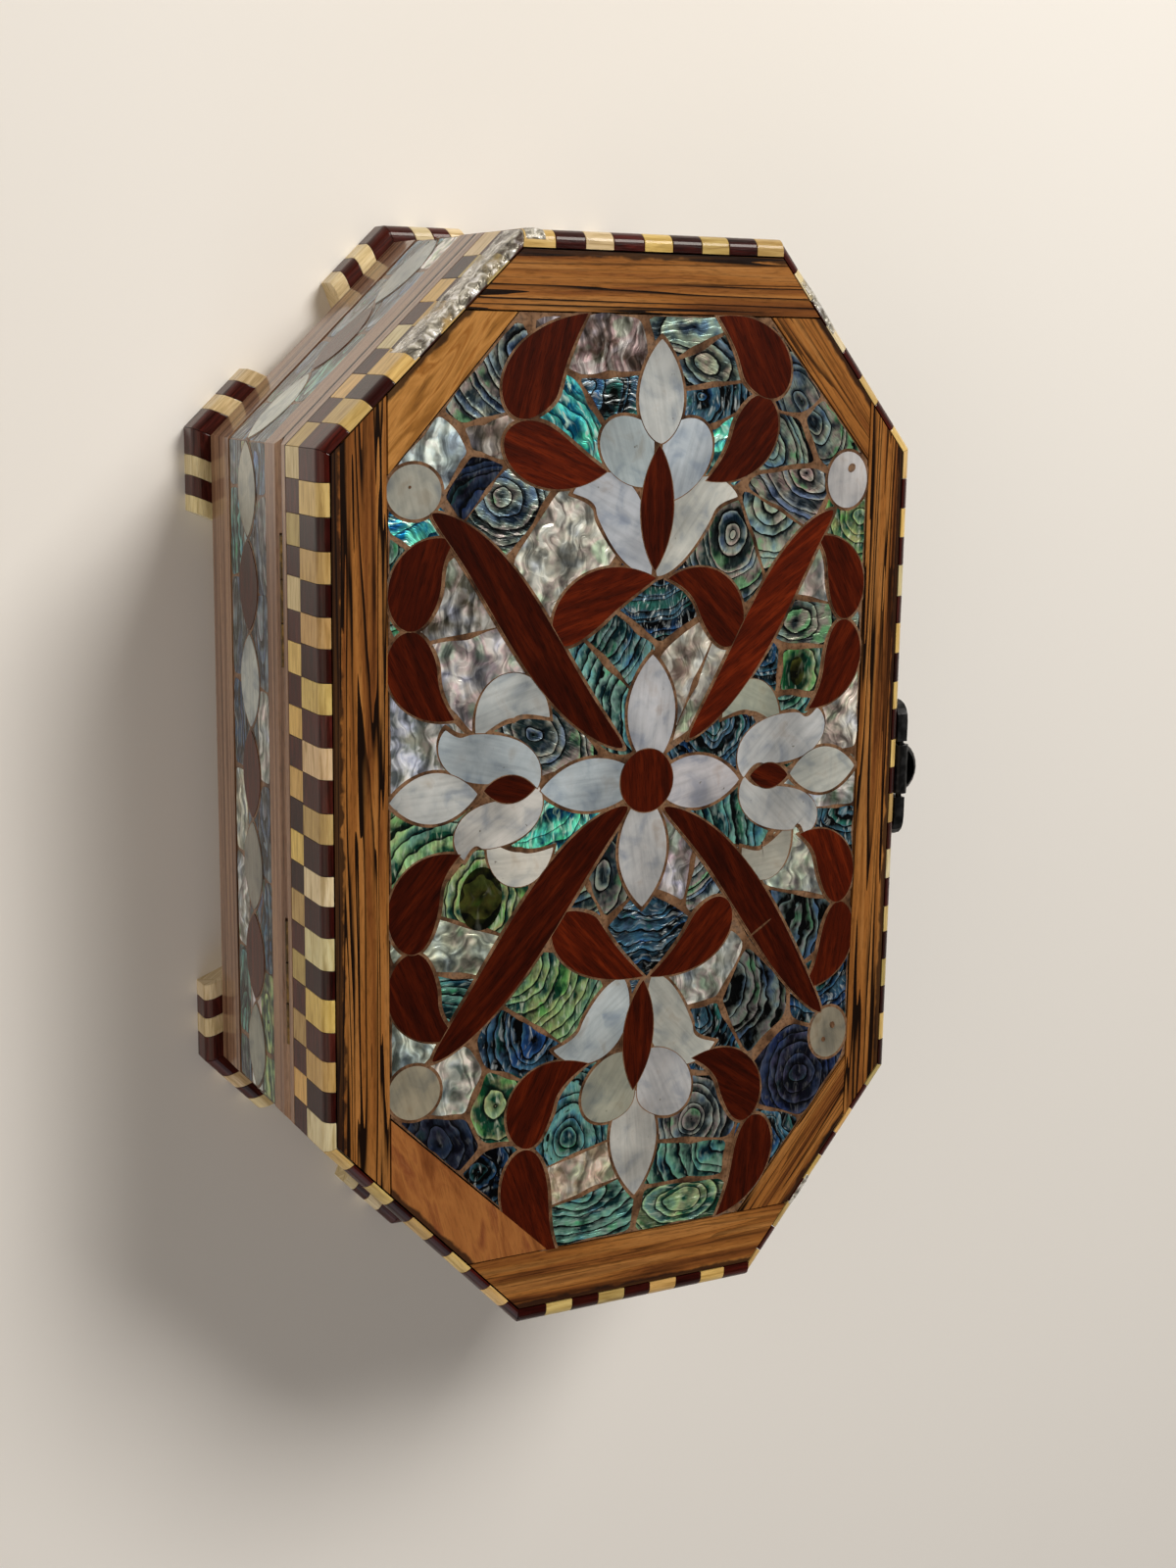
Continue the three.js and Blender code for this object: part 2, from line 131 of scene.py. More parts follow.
def start_material(name, **sockets):
    """A new material with its Principled shader, whose constant sockets are set directly."""
    material = bpy.data.materials.new(name)
    material.use_nodes = True
    shader = material.node_tree.nodes["Principled BSDF"]
    for key, value in sockets.items():
        shader.inputs[key.replace("_", " ")].default_value = value
    return material, material.node_tree, shader


# settings of a Mix node: one colour over another, or one times another
OVER = {"data_type": "RGBA"}
MULTIPLY = {"data_type": "RGBA", "blend_type": "MULTIPLY"}

# %% [markdown]
# ## Laying out the octagon
# The courses run round an octagon whose four cut corners differ a little, because the box is made by hand.
# A side has a start point, a direction along the wall, and a normal that points outwards. Everything that
# is glued on a wall is placed with those three.

# %% The octagon's sides
box_low, box_high = (np.array(corner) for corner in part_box("base_strips"))
CENTRE_Y = (box_low[1] + box_high[1]) / 2
HALF_LENGTH = box_high[0]
HALF_WIDTH = box_high[1] - CENTRE_Y
# mm that each corner takes off the length and off the width
CUT = {
    "front_left": (40.7, 32.0), "front_right": (38.7, 31.0),
    "back_right": (38.0, 38.7), "back_left": (41.4, 39.2),
}
SIDES = ("front", "front_right", "right", "back_right", "back", "back_left", "left", "front_left")
Z_BAND = (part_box("inlay_band")[0].z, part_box("inlay_band")[1].z)
Z_LID_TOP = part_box("inlaid_panel")[1].z
Z_SEAM = (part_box("rim_strips")[1].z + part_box("lid_strips")[0].z) / 2
# how far in from each side the lid's frame strips start
LID_RIM = np.array([2.0, 2.0, 3.2, 2.0, 2.0, 2.0, 3.2, 2.0]) * MM


def octagon():
    """The eight corners, anticlockwise, the first at the left end of the front side."""
    cut = {name: (x * MM, y * MM) for name, (x, y) in CUT.items()}
    hl, hw = HALF_LENGTH, HALF_WIDTH
    corners = [
        (-hl + cut["front_left"][0], -hw), (hl - cut["front_right"][0], -hw),
        (hl, -hw + cut["front_right"][1]), (hl, hw - cut["back_right"][1]),
        (hl - cut["back_right"][0], hw), (-hl + cut["back_left"][0], hw),
        (-hl, hw - cut["back_left"][1]), (-hl, -hw + cut["front_left"][1]),
    ]
    return np.array(corners) + (0, CENTRE_Y)


def directions(corners):
    """Unit vectors along each side, and the outward normals, which are those turned clockwise."""
    along = np.roll(corners, -1, axis=0) - corners
    along /= np.linalg.norm(along, axis=1, keepdims=True)
    return along, np.stack([along[:, 1], -along[:, 0]], axis=1)


def cross(first, second):
    """The z part of the cross product of flat vectors."""
    return first[:, 0] * second[:, 1] - first[:, 1] * second[:, 0]


def inset(corners, distances):
    """Each side's line moved inwards by its own distance; new corners are where neighbouring lines
    cross."""
    along, normal = directions(corners)
    points = corners - normal * np.broadcast_to(distances, len(corners))[:, None]
    before_point = np.roll(points, 1, axis=0)
    before_along = np.roll(along, 1, axis=0)
    step = cross(points - before_point, along) / cross(before_along, along)
    return before_point + before_along * step[:, None]


CORNERS = octagon()
ALONG, NORMAL = directions(CORNERS)
LENGTH = np.linalg.norm(np.roll(CORNERS, -1, axis=0) - CORNERS, axis=1)
print("side lengths in mm:", np.round(LENGTH / MM, 1))

# %% [markdown]
# ## Making meshes
# A tile is kept as plain arrays until all of its kind are joined: positions, quads, a map for the grain and
# a few values that vary from tile to tile. Joining hundreds of tiles into one mesh keeps the scene light.

# %% Mesh helpers
def quads_of(rows, columns, closed):
    """Quads between neighbouring points of a grid with that many rows; closed joins the last column to the
    first."""
    across = columns if closed else columns - 1
    row, column = np.meshgrid(np.arange(rows - 1), np.arange(across), indexing="ij")
    after = (column + 1) % columns
    this_row, next_row = row * columns, (row + 1) * columns
    corners = [this_row + column, this_row + after, next_row + after, next_row + column]
    return np.stack(corners, axis=-1).reshape(-1, 4)


def tile(points, uv, closed=True, **values):
    """A grid of points (rows, columns, 3) as one tile; values are colours or numbers that the whole tile
    shares."""
    rows, columns = points.shape[:2]
    return {"points": points.reshape(-1, 3), "faces": quads_of(rows, columns, closed),
            "uv": np.asarray(uv).reshape(-1, 2), "values": values}


WELD = 2e-6  # m, points nearer than this become one


def make_piece(name, tiles, material, body, replaced=(), smooth=False):
    """Joins tiles into one mesh, merges their closed seams, turns the faces outwards and rides it on a
    body."""
    counts = [len(t["points"]) for t in tiles]
    offsets = np.concatenate([[0], np.cumsum(counts)[:-1]])
    points = np.concatenate([t["points"] for t in tiles])
    faces = np.concatenate([t["faces"] + offset for t, offset in zip(tiles, offsets)])
    mesh = bpy.data.meshes.new(name)
    mesh.from_pydata(points.tolist(), [], faces.tolist())
    uv_layer = mesh.uv_layers.new(name="grain")
    loops = np.zeros(len(mesh.loops), dtype=np.int32)
    mesh.loops.foreach_get("vertex_index", loops)
    uv = np.concatenate([t["uv"] for t in tiles])[loops]
    uv_layer.data.foreach_set("uv", uv.astype(np.float32).ravel())
    for key in tiles[0]["values"]:
        colours = [np.tile(np.resize(t["values"][key], 4), (count, 1)) for t, count in zip(tiles, counts)]
        layer = mesh.attributes.new(key, "FLOAT_COLOR", "POINT")
        layer.data.foreach_set("color", np.concatenate(colours).astype(np.float32).ravel())
    work = bmesh.new()
    work.from_mesh(mesh)
    bmesh.ops.remove_doubles(work, verts=work.verts, dist=WELD)
    bmesh.ops.dissolve_degenerate(work, edges=work.edges, dist=WELD / 2)
    bmesh.ops.recalc_face_normals(work, faces=work.faces)
    work.to_mesh(mesh)
    work.free()
    mesh.polygons.foreach_set("use_smooth", [smooth] * len(mesh.polygons))
    piece = bpy.data.objects.new(name, mesh)
    bpy.context.scene.collection.objects.link(piece)
    mesh.materials.append(material)
    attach(piece, body)
    if replaced:
        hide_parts(*replaced)
    print(f"{name}: {len(tiles)} tiles, {len(mesh.polygons)} faces")
    return piece


# %% [markdown]
# ## Tiles
# Two kinds of outline cover the whole inlay. A blade has a curved spine and a width that swells and tapers
# along it, which makes petals, drops, tendrils and discs. A cell is the ground that is nearer to its own
# seed than to any other, which is how shell chips fill a field between their neighbours.

# %% Blades and cells
CURVE_STEPS = 40
CELL_STEPS = 80
TILE_DEPTH = 0.3  # mm from a tile's top to its bottom, which is hidden in the plate
FAR = 1e6  # mm, a border that isn't there
LEAST_REACH = 0.3  # mm from a seed to its own border
HAND_CUT = 0.035  # largest share of the radius in one wave of a hand-cut outline


def bezier(points, t):
    """Bernstein's sum: every control point weighted by C(n, k) t^k (1 - t)^(n - k)."""
    points = np.asarray(points, float)
    n = len(points) - 1
    weights = np.stack([comb(n, k) * t**k * (1 - t) ** (n - k) for k in range(n + 1)], axis=1)
    return weights @ points


def blade(spine, width, ends, grow=0.0, grain=None):
    """Spine plus width: at t along the curve the half width is W t^a (1 - t)^b over its largest value, and
    the section is a flat bar. An end power of 0.5 is round, and 1 or more is pointed."""
    a, b = ends
    t = (1 - np.cos(np.pi * np.linspace(0, 1, CURVE_STEPS))) / 2
    line = bezier(spine, t)
    if grow:
        # a pointed end is lengthened more, so that the margin round it stays even
        first, last = line[0] - line[1], line[-1] - line[-2]
        reach = grow * (1 + 0.8 * (np.array([a, b]) > 0.6))
        spine = np.array(spine, float)
        spine[0] += first / np.linalg.norm(first) * reach[0]
        spine[-1] += last / np.linalg.norm(last) * reach[1]
        line = bezier(spine, t)
    step = np.gradient(line, t, axis=0)
    side = np.stack([-step[:, 1], step[:, 0]], axis=1)
    side /= np.linalg.norm(side, axis=1, keepdims=True)
    peak = (a / (a + b)) ** a * (b / (a + b)) ** b
    half = (width / 2 + grow) * t**a * (1 - t) ** b / peak
    lanes = [(-half, -TILE_DEPTH), (-half, 0), (0 * half, 0),
             (half, 0), (half, -TILE_DEPTH), (0 * half, -TILE_DEPTH)]
    grid = np.stack([np.column_stack([line + side * offset[:, None], np.full(len(t), z)])
                     for offset, z in lanes], axis=1)
    chord = line[-1] - line[0]
    if grain is None:
        turn = np.arctan2(chord[1], chord[0]) + radians(rng.uniform(-20, 20))
    else:
        turn = radians(grain)
    rotation = np.array([[np.cos(turn), np.sin(turn)], [-np.sin(turn), np.cos(turn)]])
    return grid, grid[..., :2] @ rotation.T


def cell(seed, others, walls, gap, roundness=10):
    """Nearest-seed ground: at angle q the border towards another seed lies at |d|^2 / (2 d.u), where d runs
    to that seed and u is the direction of q. A high power blends the borders, which rounds the corners, and
    cosine waves make the outline uneven."""
    angle = np.linspace(0, 2 * np.pi, CELL_STEPS, endpoint=False)
    u = np.stack([np.cos(angle), np.sin(angle)], axis=1)
    d = others - seed
    reach = u @ d.T
    border = (d**2).sum(axis=1) / (2 * np.maximum(reach, 1e-6)) - gap / 2
    border = np.where(reach > 1e-6, border, FAR)
    normals, distances = walls
    outwards = u @ normals.T
    wall = (distances - seed @ normals.T) / np.maximum(outwards, 1e-6)
    wall = np.where(outwards > 1e-6, wall, FAR)
    near = np.clip(np.concatenate([border, wall], axis=1), LEAST_REACH, FAR)
    radius = (near**-roundness).sum(axis=1) ** (-1 / roundness)
    for waves in range(2, 6):
        radius = radius * (1 + rng.uniform(0, HAND_CUT) * np.cos(waves * angle + rng.uniform(0, 2 * np.pi)))
    rings = [(0 * radius, 0), (radius / 2, 0), (radius, 0), (radius, -TILE_DEPTH), (0 * radius, -TILE_DEPTH)]
    return np.stack([np.column_stack([seed + u * r[:, None], np.full(CELL_STEPS, z)]) for r, z in rings])


def on_lid(grid, level):
    """Millimetres on the lid to metres in the frame; level is the height of the tile's top below the
    lid's."""
    flat = grid[..., :2] * MM + (0, CENTRE_Y)
    return np.concatenate([flat, grid[..., 2:] * MM + Z_LID_TOP - level * MM], axis=-1)


# %% [markdown]
# ## Lacquer
# The whole box is under many coats of clear lacquer, rubbed flat but never quite flat. The coat has its own
# gloss over each wood and shell, and a slow waviness bends its reflections. The waves read Object
# coordinates, so they run on from tile to tile.

# %% Lacquer waves
LACQUER = {"Coat_Weight": 0.8, "Coat_Roughness": 0.05, "Coat_IOR": 1.42, "Specular_IOR_Level": 0.1}


def lacquer(tree, shader, strength=0.22, relief=None, relief_strength=0.2, relief_depth=0.0002):
    """Wavy coat normals: slow noise about 9 mm across, with dust pips near 1 mm, bends the clear coat only.
    A relief height bends the surface under the coat."""
    where = add(tree, "TexCoord", give="Object")
    slow = add(tree, "TexNoise", {"Vector": where, "Scale": 110.0, "Detail": 2.0})
    pips = add(tree, "TexNoise", {"Vector": where, "Scale": 900.0, "Detail": 1.0})
    both = add(tree, "Math", {0: pips, 1: 0.10, 2: slow}, operation="MULTIPLY_ADD")
    waves = add(tree, "Bump", {"Height": both, "Strength": strength, "Distance": 0.0006})
    tree.links.new(waves, shader.inputs["Coat Normal"])
    if relief is not None:
        under = add(tree, "Bump", {"Height": relief, "Strength": relief_strength, "Distance": relief_depth})
        tree.links.new(under, shader.inputs["Normal"])


# %% [markdown]
# ## Shell
# Abalone is cut across its growth lines. Thin dark lines of horny matter wander round like the contours of
# a map, crowded here and far apart there. From each line to the next the nacre goes from dark to bright,
# because the layers lie like shingles, and its colour drifts through blue, pink and green. Fine ripples
# cross it like satin. Each chip has its own pair of colours, its own line spacing and its own eye, which
# the map measures from: one unit of the map is one line spacing.

# %% Abalone
def abalone():
    """Rings round each chip's eye, one to each unit of the map, on nacre between the chip's two colours."""
    material, tree, shader = start_material("abalone_shell", Roughness=0.32, Metallic=0.45, **LACQUER)
    uv = add(tree, "UVMap", uv_map="grain")
    where = add(tree, "TexCoord", give="Object")
    own = add(tree, "Attribute", attribute_name="shade_a").node.outputs
    first, own_number = own["Color"], own["Alpha"]
    second = add(tree, "Attribute", attribute_name="shade_b")
    figure = add(tree, "Attribute", attribute_name="figure").node.outputs
    shares = add(tree, "SeparateColor", {"Color": figure["Color"]}).node.outputs
    line_share, painted_glint_share, wander_share = shares
    ripple_share = figure["Alpha"]
    # distance from the eye in line spacings, pushed about by slow noise
    slow = add(tree, "TexNoise", {"Vector": where, "Scale": 170.0, "Detail": 1.5}, give="Color")
    centred = add(tree, "VectorMath", {0: slow, 1: (0.5, 0.5, 0.5)}, operation="SUBTRACT")
    reach = add(tree, "Math", {0: wander_share, 1: 7.0}, operation="MULTIPLY")
    push = add(tree, "VectorMath", {0: centred, "Scale": reach}, operation="SCALE")
    moved = add(tree, "VectorMath", {0: uv, 1: push}, operation="ADD")
    flat = add(tree, "VectorMath", {0: moved, 1: (1.0, 1.0, 0.0)}, operation="MULTIPLY")
    away = add(tree, "VectorMath", {0: flat}, operation="LENGTH")
    # lines crowd where a noise along that distance rises, and fine noise makes them ragged
    chip_start = add(tree, "Math", {0: own_number, 1: 60.0}, operation="MULTIPLY")
    crowd_place = add(tree, "Math", {0: away, 1: 0.55, 2: chip_start}, operation="MULTIPLY_ADD")
    crowd = add(tree, "TexNoise", {"W": crowd_place, "Scale": 1.0, "Detail": 1.0}, noise_dimensions="1D")
    ring = add(tree, "Math", {0: crowd, 1: 1.7, 2: away}, operation="MULTIPLY_ADD")
    ragged = add(tree, "TexNoise", {"Vector": where, "Scale": 480.0, "Detail": 1.5})
    ring = add(tree, "Math", {0: ragged, 1: 0.38, 2: ring}, operation="MULTIPLY_ADD")
    shingle = add(tree, "Math", {0: ring}, operation="FRACT")
    edge = add(tree, "ValToRGB", {"Fac": shingle}, stops=[
        (0.0, 1.0), (0.12, 1.0), (0.22, 0.0), (0.96, 0.0), (1.0, 0.5)])
    shade = add(tree, "Math", {0: shingle, 1: 0.80, 2: 0.42}, operation="MULTIPLY_ADD")
    # ripples: noise drawn out one way across the map, sharpened to bright crest lines; a real relief below,
    # and in colour painted highlights on each crest with painted shade between
    drawn = add(tree, "Mapping", {"Vector": moved, "Scale": (0.6, 3.6, 1.0)})
    ripple = add(tree, "TexNoise", {"Vector": drawn, "Scale": 1.0, "Detail": 2.0, "Distortion": 0.3})
    painted_crest_light = add(tree, "ValToRGB", {"Fac": ripple}, stops=[(0.34, 0.16), (0.49, 0.45), (0.61, 1.0)])
    # nacre: from one of the chip's colours to the other across each shingle, with cloudy noise
    cloud = add(tree, "TexNoise", {"Vector": where, "Scale": 300.0, "Detail": 3.0})
    lean = add(tree, "Math", {0: shingle, 1: 0.5}, operation="SUBTRACT")
    lean = add(tree, "Math", {0: lean, 1: line_share}, operation="MULTIPLY")
    swing = add(tree, "Math", {0: lean, 1: 0.30, 2: cloud}, operation="MULTIPLY_ADD")
    blend = add(tree, "ValToRGB", {"Fac": swing}, stops=[(0.40, 0.0), (0.64, 1.0)])
    nacre = add(tree, "Mix", {0: blend, 6: first, 7: second}, **OVER)
    # a tint that drifts with the rings and with clouds: blue, plain, pink, green
    hue_place = add(tree, "Math", {0: ring, 1: 0.6, 2: chip_start}, operation="MULTIPLY_ADD")
    ring_hue = add(tree, "TexNoise", {"W": hue_place, "Scale": 1.0, "Detail": 1.0}, noise_dimensions="1D")
    cloud_hue = add(tree, "TexNoise", {"Vector": where, "Scale": 240.0, "Detail": 2.0})
    hue = add(tree, "Mix", {0: 0.55, 2: ring_hue, 3: cloud_hue})
    tint = add(tree, "ValToRGB", {"Fac": hue}, stops=[
        (0.38, "#83a6ec"), (0.45, "#dfeeff"), (0.50, "#fffaf0"), (0.56, "#ffd0da"), (0.64, "#a4f0b2")])
    tint_share = add(tree, "Math", {0: line_share, 1: 0.5, 2: 0.35}, operation="MULTIPLY_ADD")
    nacre = add(tree, "Mix", {0: tint_share, 6: nacre, 7: tint}, **MULTIPLY)
    shaded = add(tree, "Mix", {0: 1.0, 6: nacre, 7: shade}, **MULTIPLY)
    nacre = add(tree, "Mix", {0: line_share, 6: nacre, 7: shaded}, **OVER)
    # painted highlight and shade: each crest brightens the nacre and each trough darkens it, like light on
    # folded foil
    painted_crest_shading = add(tree, "Math", {0: painted_crest_light, 1: 2.1}, operation="MULTIPLY")
    nacre_with_painted_crests = add(tree, "Mix", {0: 1.0, 6: nacre, 7: painted_crest_shading}, **MULTIPLY)
    nacre = add(tree, "Mix", {0: ripple_share, 6: nacre, 7: nacre_with_painted_crests}, **OVER)
    # painted highlights where noise and the crest lines are both high, painted shade in hollows where noise
    # is low, and the lines over all
    flecks = add(tree, "Mapping", {"Vector": moved, "Scale": (0.8, 2.4, 1.0)})
    spots = add(tree, "TexNoise", {"Vector": flecks, "Scale": 1.0, "Detail": 2.0, "Distortion": 0.6})
    # painted highlight: bright flecks of near-white laid into the base colour
    painted_glint_spots = add(tree, "ValToRGB", {"Fac": spots}, stops=[(0.54, 0.0), (0.66, 1.0)])
    painted_glints = add(tree, "Math", {0: painted_glint_spots, 1: painted_crest_light}, operation="MULTIPLY")
    painted_glints = add(tree, "Math", {0: painted_glints, 1: painted_glint_share}, operation="MULTIPLY", use_clamp=True)
    painted_glint_colour = add(tree, "Mix", {0: 0.45, 6: linear("#f2f7f4"), 7: second}, **OVER)
    nacre = add(tree, "Mix", {0: painted_glints, 6: nacre, 7: painted_glint_colour}, **OVER)
    # painted shade: the nacre darkened in hollows between the folds
    painted_hollow_shade = add(tree, "ValToRGB", {"Fac": spots}, stops=[(0.34, 0.0), (0.41, 1.0)])
    painted_hollow_share = add(tree, "Math", {0: line_share, 1: 0.5}, operation="MULTIPLY")
    nacre = add(tree, "Mix", {0: painted_hollow_share, 6: nacre, 7: painted_hollow_shade}, **MULTIPLY)
    line = add(tree, "Math", {0: edge, 1: line_share}, operation="MULTIPLY")
    nacre = add(tree, "Mix", {0: line, 6: nacre, 7: linear("#07090b")}, **OVER)
    tree.links.new(nacre, shader.inputs["Base Color"])
    rolling = add(tree, "Math", {0: ripple, 1: ripple_share}, operation="MULTIPLY")
    relief = add(tree, "Math", {0: shingle, 1: 0.2, 2: rolling}, operation="MULTIPLY_ADD")
    relief = add(tree, "Math", {0: spots, 1: 0.5, 2: relief}, operation="MULTIPLY_ADD")
    lacquer(tree, shader, relief=relief, relief_strength=0.7, relief_depth=0.0007)
    return material


# %% Mother-of-pearl
def mother_of_pearl():
    """Nacre cut along its layers: pale and nearly plain, with slow shading over 14 mm, faint clouds 5 mm
    across, combed lines and a few pits."""
    material, tree, shader = start_material("mother_of_pearl", Roughness=0.26, Metallic=0.1, **LACQUER)
    where = add(tree, "TexCoord", give="Object")
    uv = add(tree, "UVMap", uv_map="grain")
    own = add(tree, "Attribute", attribute_name="shade_a")
    slow = add(tree, "TexNoise", {"Vector": where, "Scale": 75.0, "Detail": 1.0})
    shading = add(tree, "ValToRGB", {"Fac": slow}, stops=[(0.35, 0.62), (0.62, 1.0)])
    cloud = add(tree, "TexNoise", {"Vector": where, "Scale": 200.0, "Detail": 5.0, "Distortion": 0.5})
    clouds = add(tree, "ValToRGB", {"Fac": cloud}, stops=[
        (0.30, "#c4ccd8"), (0.48, "#f1f3f4"), (0.60, "#ffffff"), (0.74, "#ece4dc")])
    base = add(tree, "Mix", {0: 1.0, 6: own, 7: shading}, **MULTIPLY)
    base = add(tree, "Mix", {0: 1.0, 6: base, 7: clouds}, **MULTIPLY)
    drawn = add(tree, "Mapping", {"Vector": uv, "Scale": (0.10, 1.1, 1.0)})
    combed = add(tree, "TexNoise", {"Vector": drawn, "Scale": 1.0, "Detail": 4.0})
    lines = add(tree, "ValToRGB", {"Fac": combed}, stops=[(0.36, 0.80), (0.56, 1.0)])
    base = add(tree, "Mix", {0: 0.7, 6: base, 7: lines}, **MULTIPLY)
    pit = add(tree, "TexNoise", {"Vector": where, "Scale": 620.0, "Detail": 2.0})
    pits = add(tree, "ValToRGB", {"Fac": pit}, stops=[(0.73, 0.0), (0.78, 0.8)])
    base = add(tree, "Mix", {0: pits, 6: base, 7: linear("#5a564c")}, **OVER)
    tree.links.new(base, shader.inputs["Base Color"])
    lacquer(tree, shader, relief=cloud, relief_strength=0.35, relief_depth=0.0005)
    return material


# %% [markdown]
# ## Wood
# Four woods show: a red mahogany for the tendrils and drops, a tan wood with near-black lines for the
# strips, a honey-coloured wood on two corners, and pale and dark squares. All are the same idea, noise
# stretched along the grain, with colours and widths of their own.

# %% Wood figures
def wood(name, stops, along=45.0, across=2.0, turn=0.0, from_uv=False, wobble=0.6, pores=0.35, tinted=False,
         roughness=0.35, upright=None, veins=0.0, rim=None, start=0.0, coat=0.8, seam=None):
    """Stretched noise through a colour ramp: along and across are the streaks' length and width in mm,
    turned about Z to follow a strip, and start moves the figure. Short dark pores run the same way. Veins
    are near-black contour lines of a wider noise, which come in bundles. A rim (normal, distance in mm,
    depth in mm) darkens the strip where glue and dirt sit. A seam is a height in mm where a dark amber line
    is painted: painted shade in the gap between lid and body."""
    material, tree, shader = start_material(name, Roughness=roughness, **LACQUER)
    shader.inputs["Coat Weight"].default_value = coat
    where = add(tree, "TexCoord", give="Object")
    source = add(tree, "UVMap", uv_map="grain") if from_uv else where
    unit = 1.0 if from_uv else 1000.0
    shift = (start / unit, start / unit, 0.0)
    turned = add(tree, "Mapping", {"Vector": source, "Rotation": (0.0, 0.0, -turn), "Location": shift})
    # each noise: length and width of its marks in mm, detail and distortion
    marks = {"streaks": (along, across, 5.0, wobble), "pores": (2.4, 0.22, 2.0, 0.0),
             "bundles": (150.0, 5.0, 1.0, 0.0), "contours": (170.0, 4.2, 2.5, 0.25)}
    noise = {}
    for mark, (long, wide, detail, distortion) in marks.items():
        if mark in ("bundles", "contours") and not veins:
            continue
        tall = upright if mark == "streaks" and upright else wide
        scaled = add(tree, "Mapping", {"Vector": turned, "Scale": (unit / long, unit / wide, unit / tall)})
        noise[mark] = add(tree, "TexNoise", {
            "Vector": scaled, "Scale": 1.0, "Detail": detail, "Distortion": distortion})
    colour = add(tree, "ValToRGB", {"Fac": noise["streaks"]}, stops=stops)
    pore = add(tree, "ValToRGB", {"Fac": noise["pores"]}, stops=[(0.50, 1.0), (0.68, 1.0 - pores)])
    colour = add(tree, "Mix", {0: 1.0, 6: colour, 7: pore}, **MULTIPLY)
    if veins:
        bundle = add(tree, "ValToRGB", {"Fac": noise["bundles"]}, stops=[(0.34, 0.25), (0.52, 1.0)])
        steps = add(tree, "Math", {0: noise["contours"], 1: 11.0}, operation="MULTIPLY")
        steps = add(tree, "Math", {0: steps}, operation="FRACT")
        contour = add(tree, "ValToRGB", {"Fac": steps}, stops=[
            (0.0, 0.8), (0.10, 1.0), (0.42, 0.15), (0.97, 0.0)])
        amount = add(tree, "Math", {0: bundle, 1: contour}, operation="MULTIPLY")
        amount = add(tree, "Math", {0: amount, 1: veins}, operation="MULTIPLY", use_clamp=True)
        colour = add(tree, "Mix", {0: amount, 6: colour, 7: linear("#160b06")}, **OVER)
    if rim:
        normal, distance, depth = rim
        normal_mm = (*(1000.0 * normal).tolist(), 0.0)
        reach = add(tree, "VectorMath", {0: where, 1: normal_mm}, operation="DOT_PRODUCT")
        inwards = add(tree, "Math", {0: distance, 1: reach}, operation="SUBTRACT")
        blotch = add(tree, "TexNoise", {"Vector": where, "Scale": 220.0, "Detail": 3.0})
        edge = add(tree, "Math", {0: blotch, 1: -2.2 * depth, 2: inwards}, operation="MULTIPLY_ADD")
        dirt = add(tree, "ValToRGB", {"Fac": edge}, stops=[(0.0, 0.85), (0.45, 0.0)])
        colour = add(tree, "Mix", {0: dirt, 6: colour, 7: linear("#1b1210")}, **OVER)
    if seam:
        height = add(tree, "SeparateXYZ", {"Vector": where}, give="Z")
        # painted shade: a dark line 1 mm wide at the seam's height stands for the shadow in the gap between
        # lid and body
        line = add(tree, "Math", {0: height, 1: seam * MM, 2: 0.5 * MM}, operation="COMPARE")
        colour = add(tree, "Mix", {0: line, 6: colour, 7: linear("#2a1608")}, **OVER)
    if tinted:
        own = add(tree, "Attribute", attribute_name="shade_a")
        colour = add(tree, "Mix", {0: 1.0, 6: colour, 7: own}, **MULTIPLY)
    tree.links.new(colour, shader.inputs["Base Color"])
    lacquer(tree, shader, relief=noise["pores"])
    return material


def grout():
    """Filler of wood dust and glue: tan brown, mottled at 4 mm, speckled with darker dust."""
    material, tree, shader = start_material("wood_dust_filler", Roughness=0.45, **LACQUER)
    where = add(tree, "TexCoord", give="Object")
    cloud = add(tree, "TexNoise", {"Vector": where, "Scale": 230.0, "Detail": 4.0})
    colour = add(tree, "ValToRGB", {"Fac": cloud}, stops=[
        (0.30, "#352319"), (0.46, "#664a35"), (0.60, "#86674e"), (0.75, "#5c524b")])
    dust = add(tree, "TexNoise", {"Vector": where, "Scale": 1500.0, "Detail": 2.0})
    specks = add(tree, "ValToRGB", {"Fac": dust}, stops=[(0.35, 0.6), (0.5, 1.0)])
    speckled = add(tree, "Mix", {0: 1.0, 6: colour, 7: specks}, **MULTIPLY)
    tree.links.new(speckled, shader.inputs["Base Color"])
    lacquer(tree, shader, relief=dust)
    return material


STREAKED = [(0.28, "#432411"), (0.40, "#7a4923"), (0.52, "#9a6430"), (0.62, "#aa753f"), (0.76, "#7a4d27")]
HONEY = [(0.25, "#6a4420"), (0.40, "#95652f"), (0.52, "#b88346"), (0.64, "#94602a"), (0.78, "#c29456")]
CHERRY = [(0.25, "#63351a"), (0.42, "#8b552d"), (0.55, "#a06838"), (0.68, "#80492a"), (0.80, "#a87547")]
MAHOGANY = [(0.25, "#2a0a03"), (0.5, "#441204"), (0.75, "#632109")]
PLAIN = [(0.25, "#7a5230"), (0.5, "#9c7046"), (0.75, "#b0855a")]
BOXWOOD = [(0.3, "#b29c6e"), (0.5, "#d6c398"), (0.7, "#e4d5ae")]
STAINED = [(0.3, "#240c08"), (0.5, "#3d150f"), (0.7, "#52201a")]

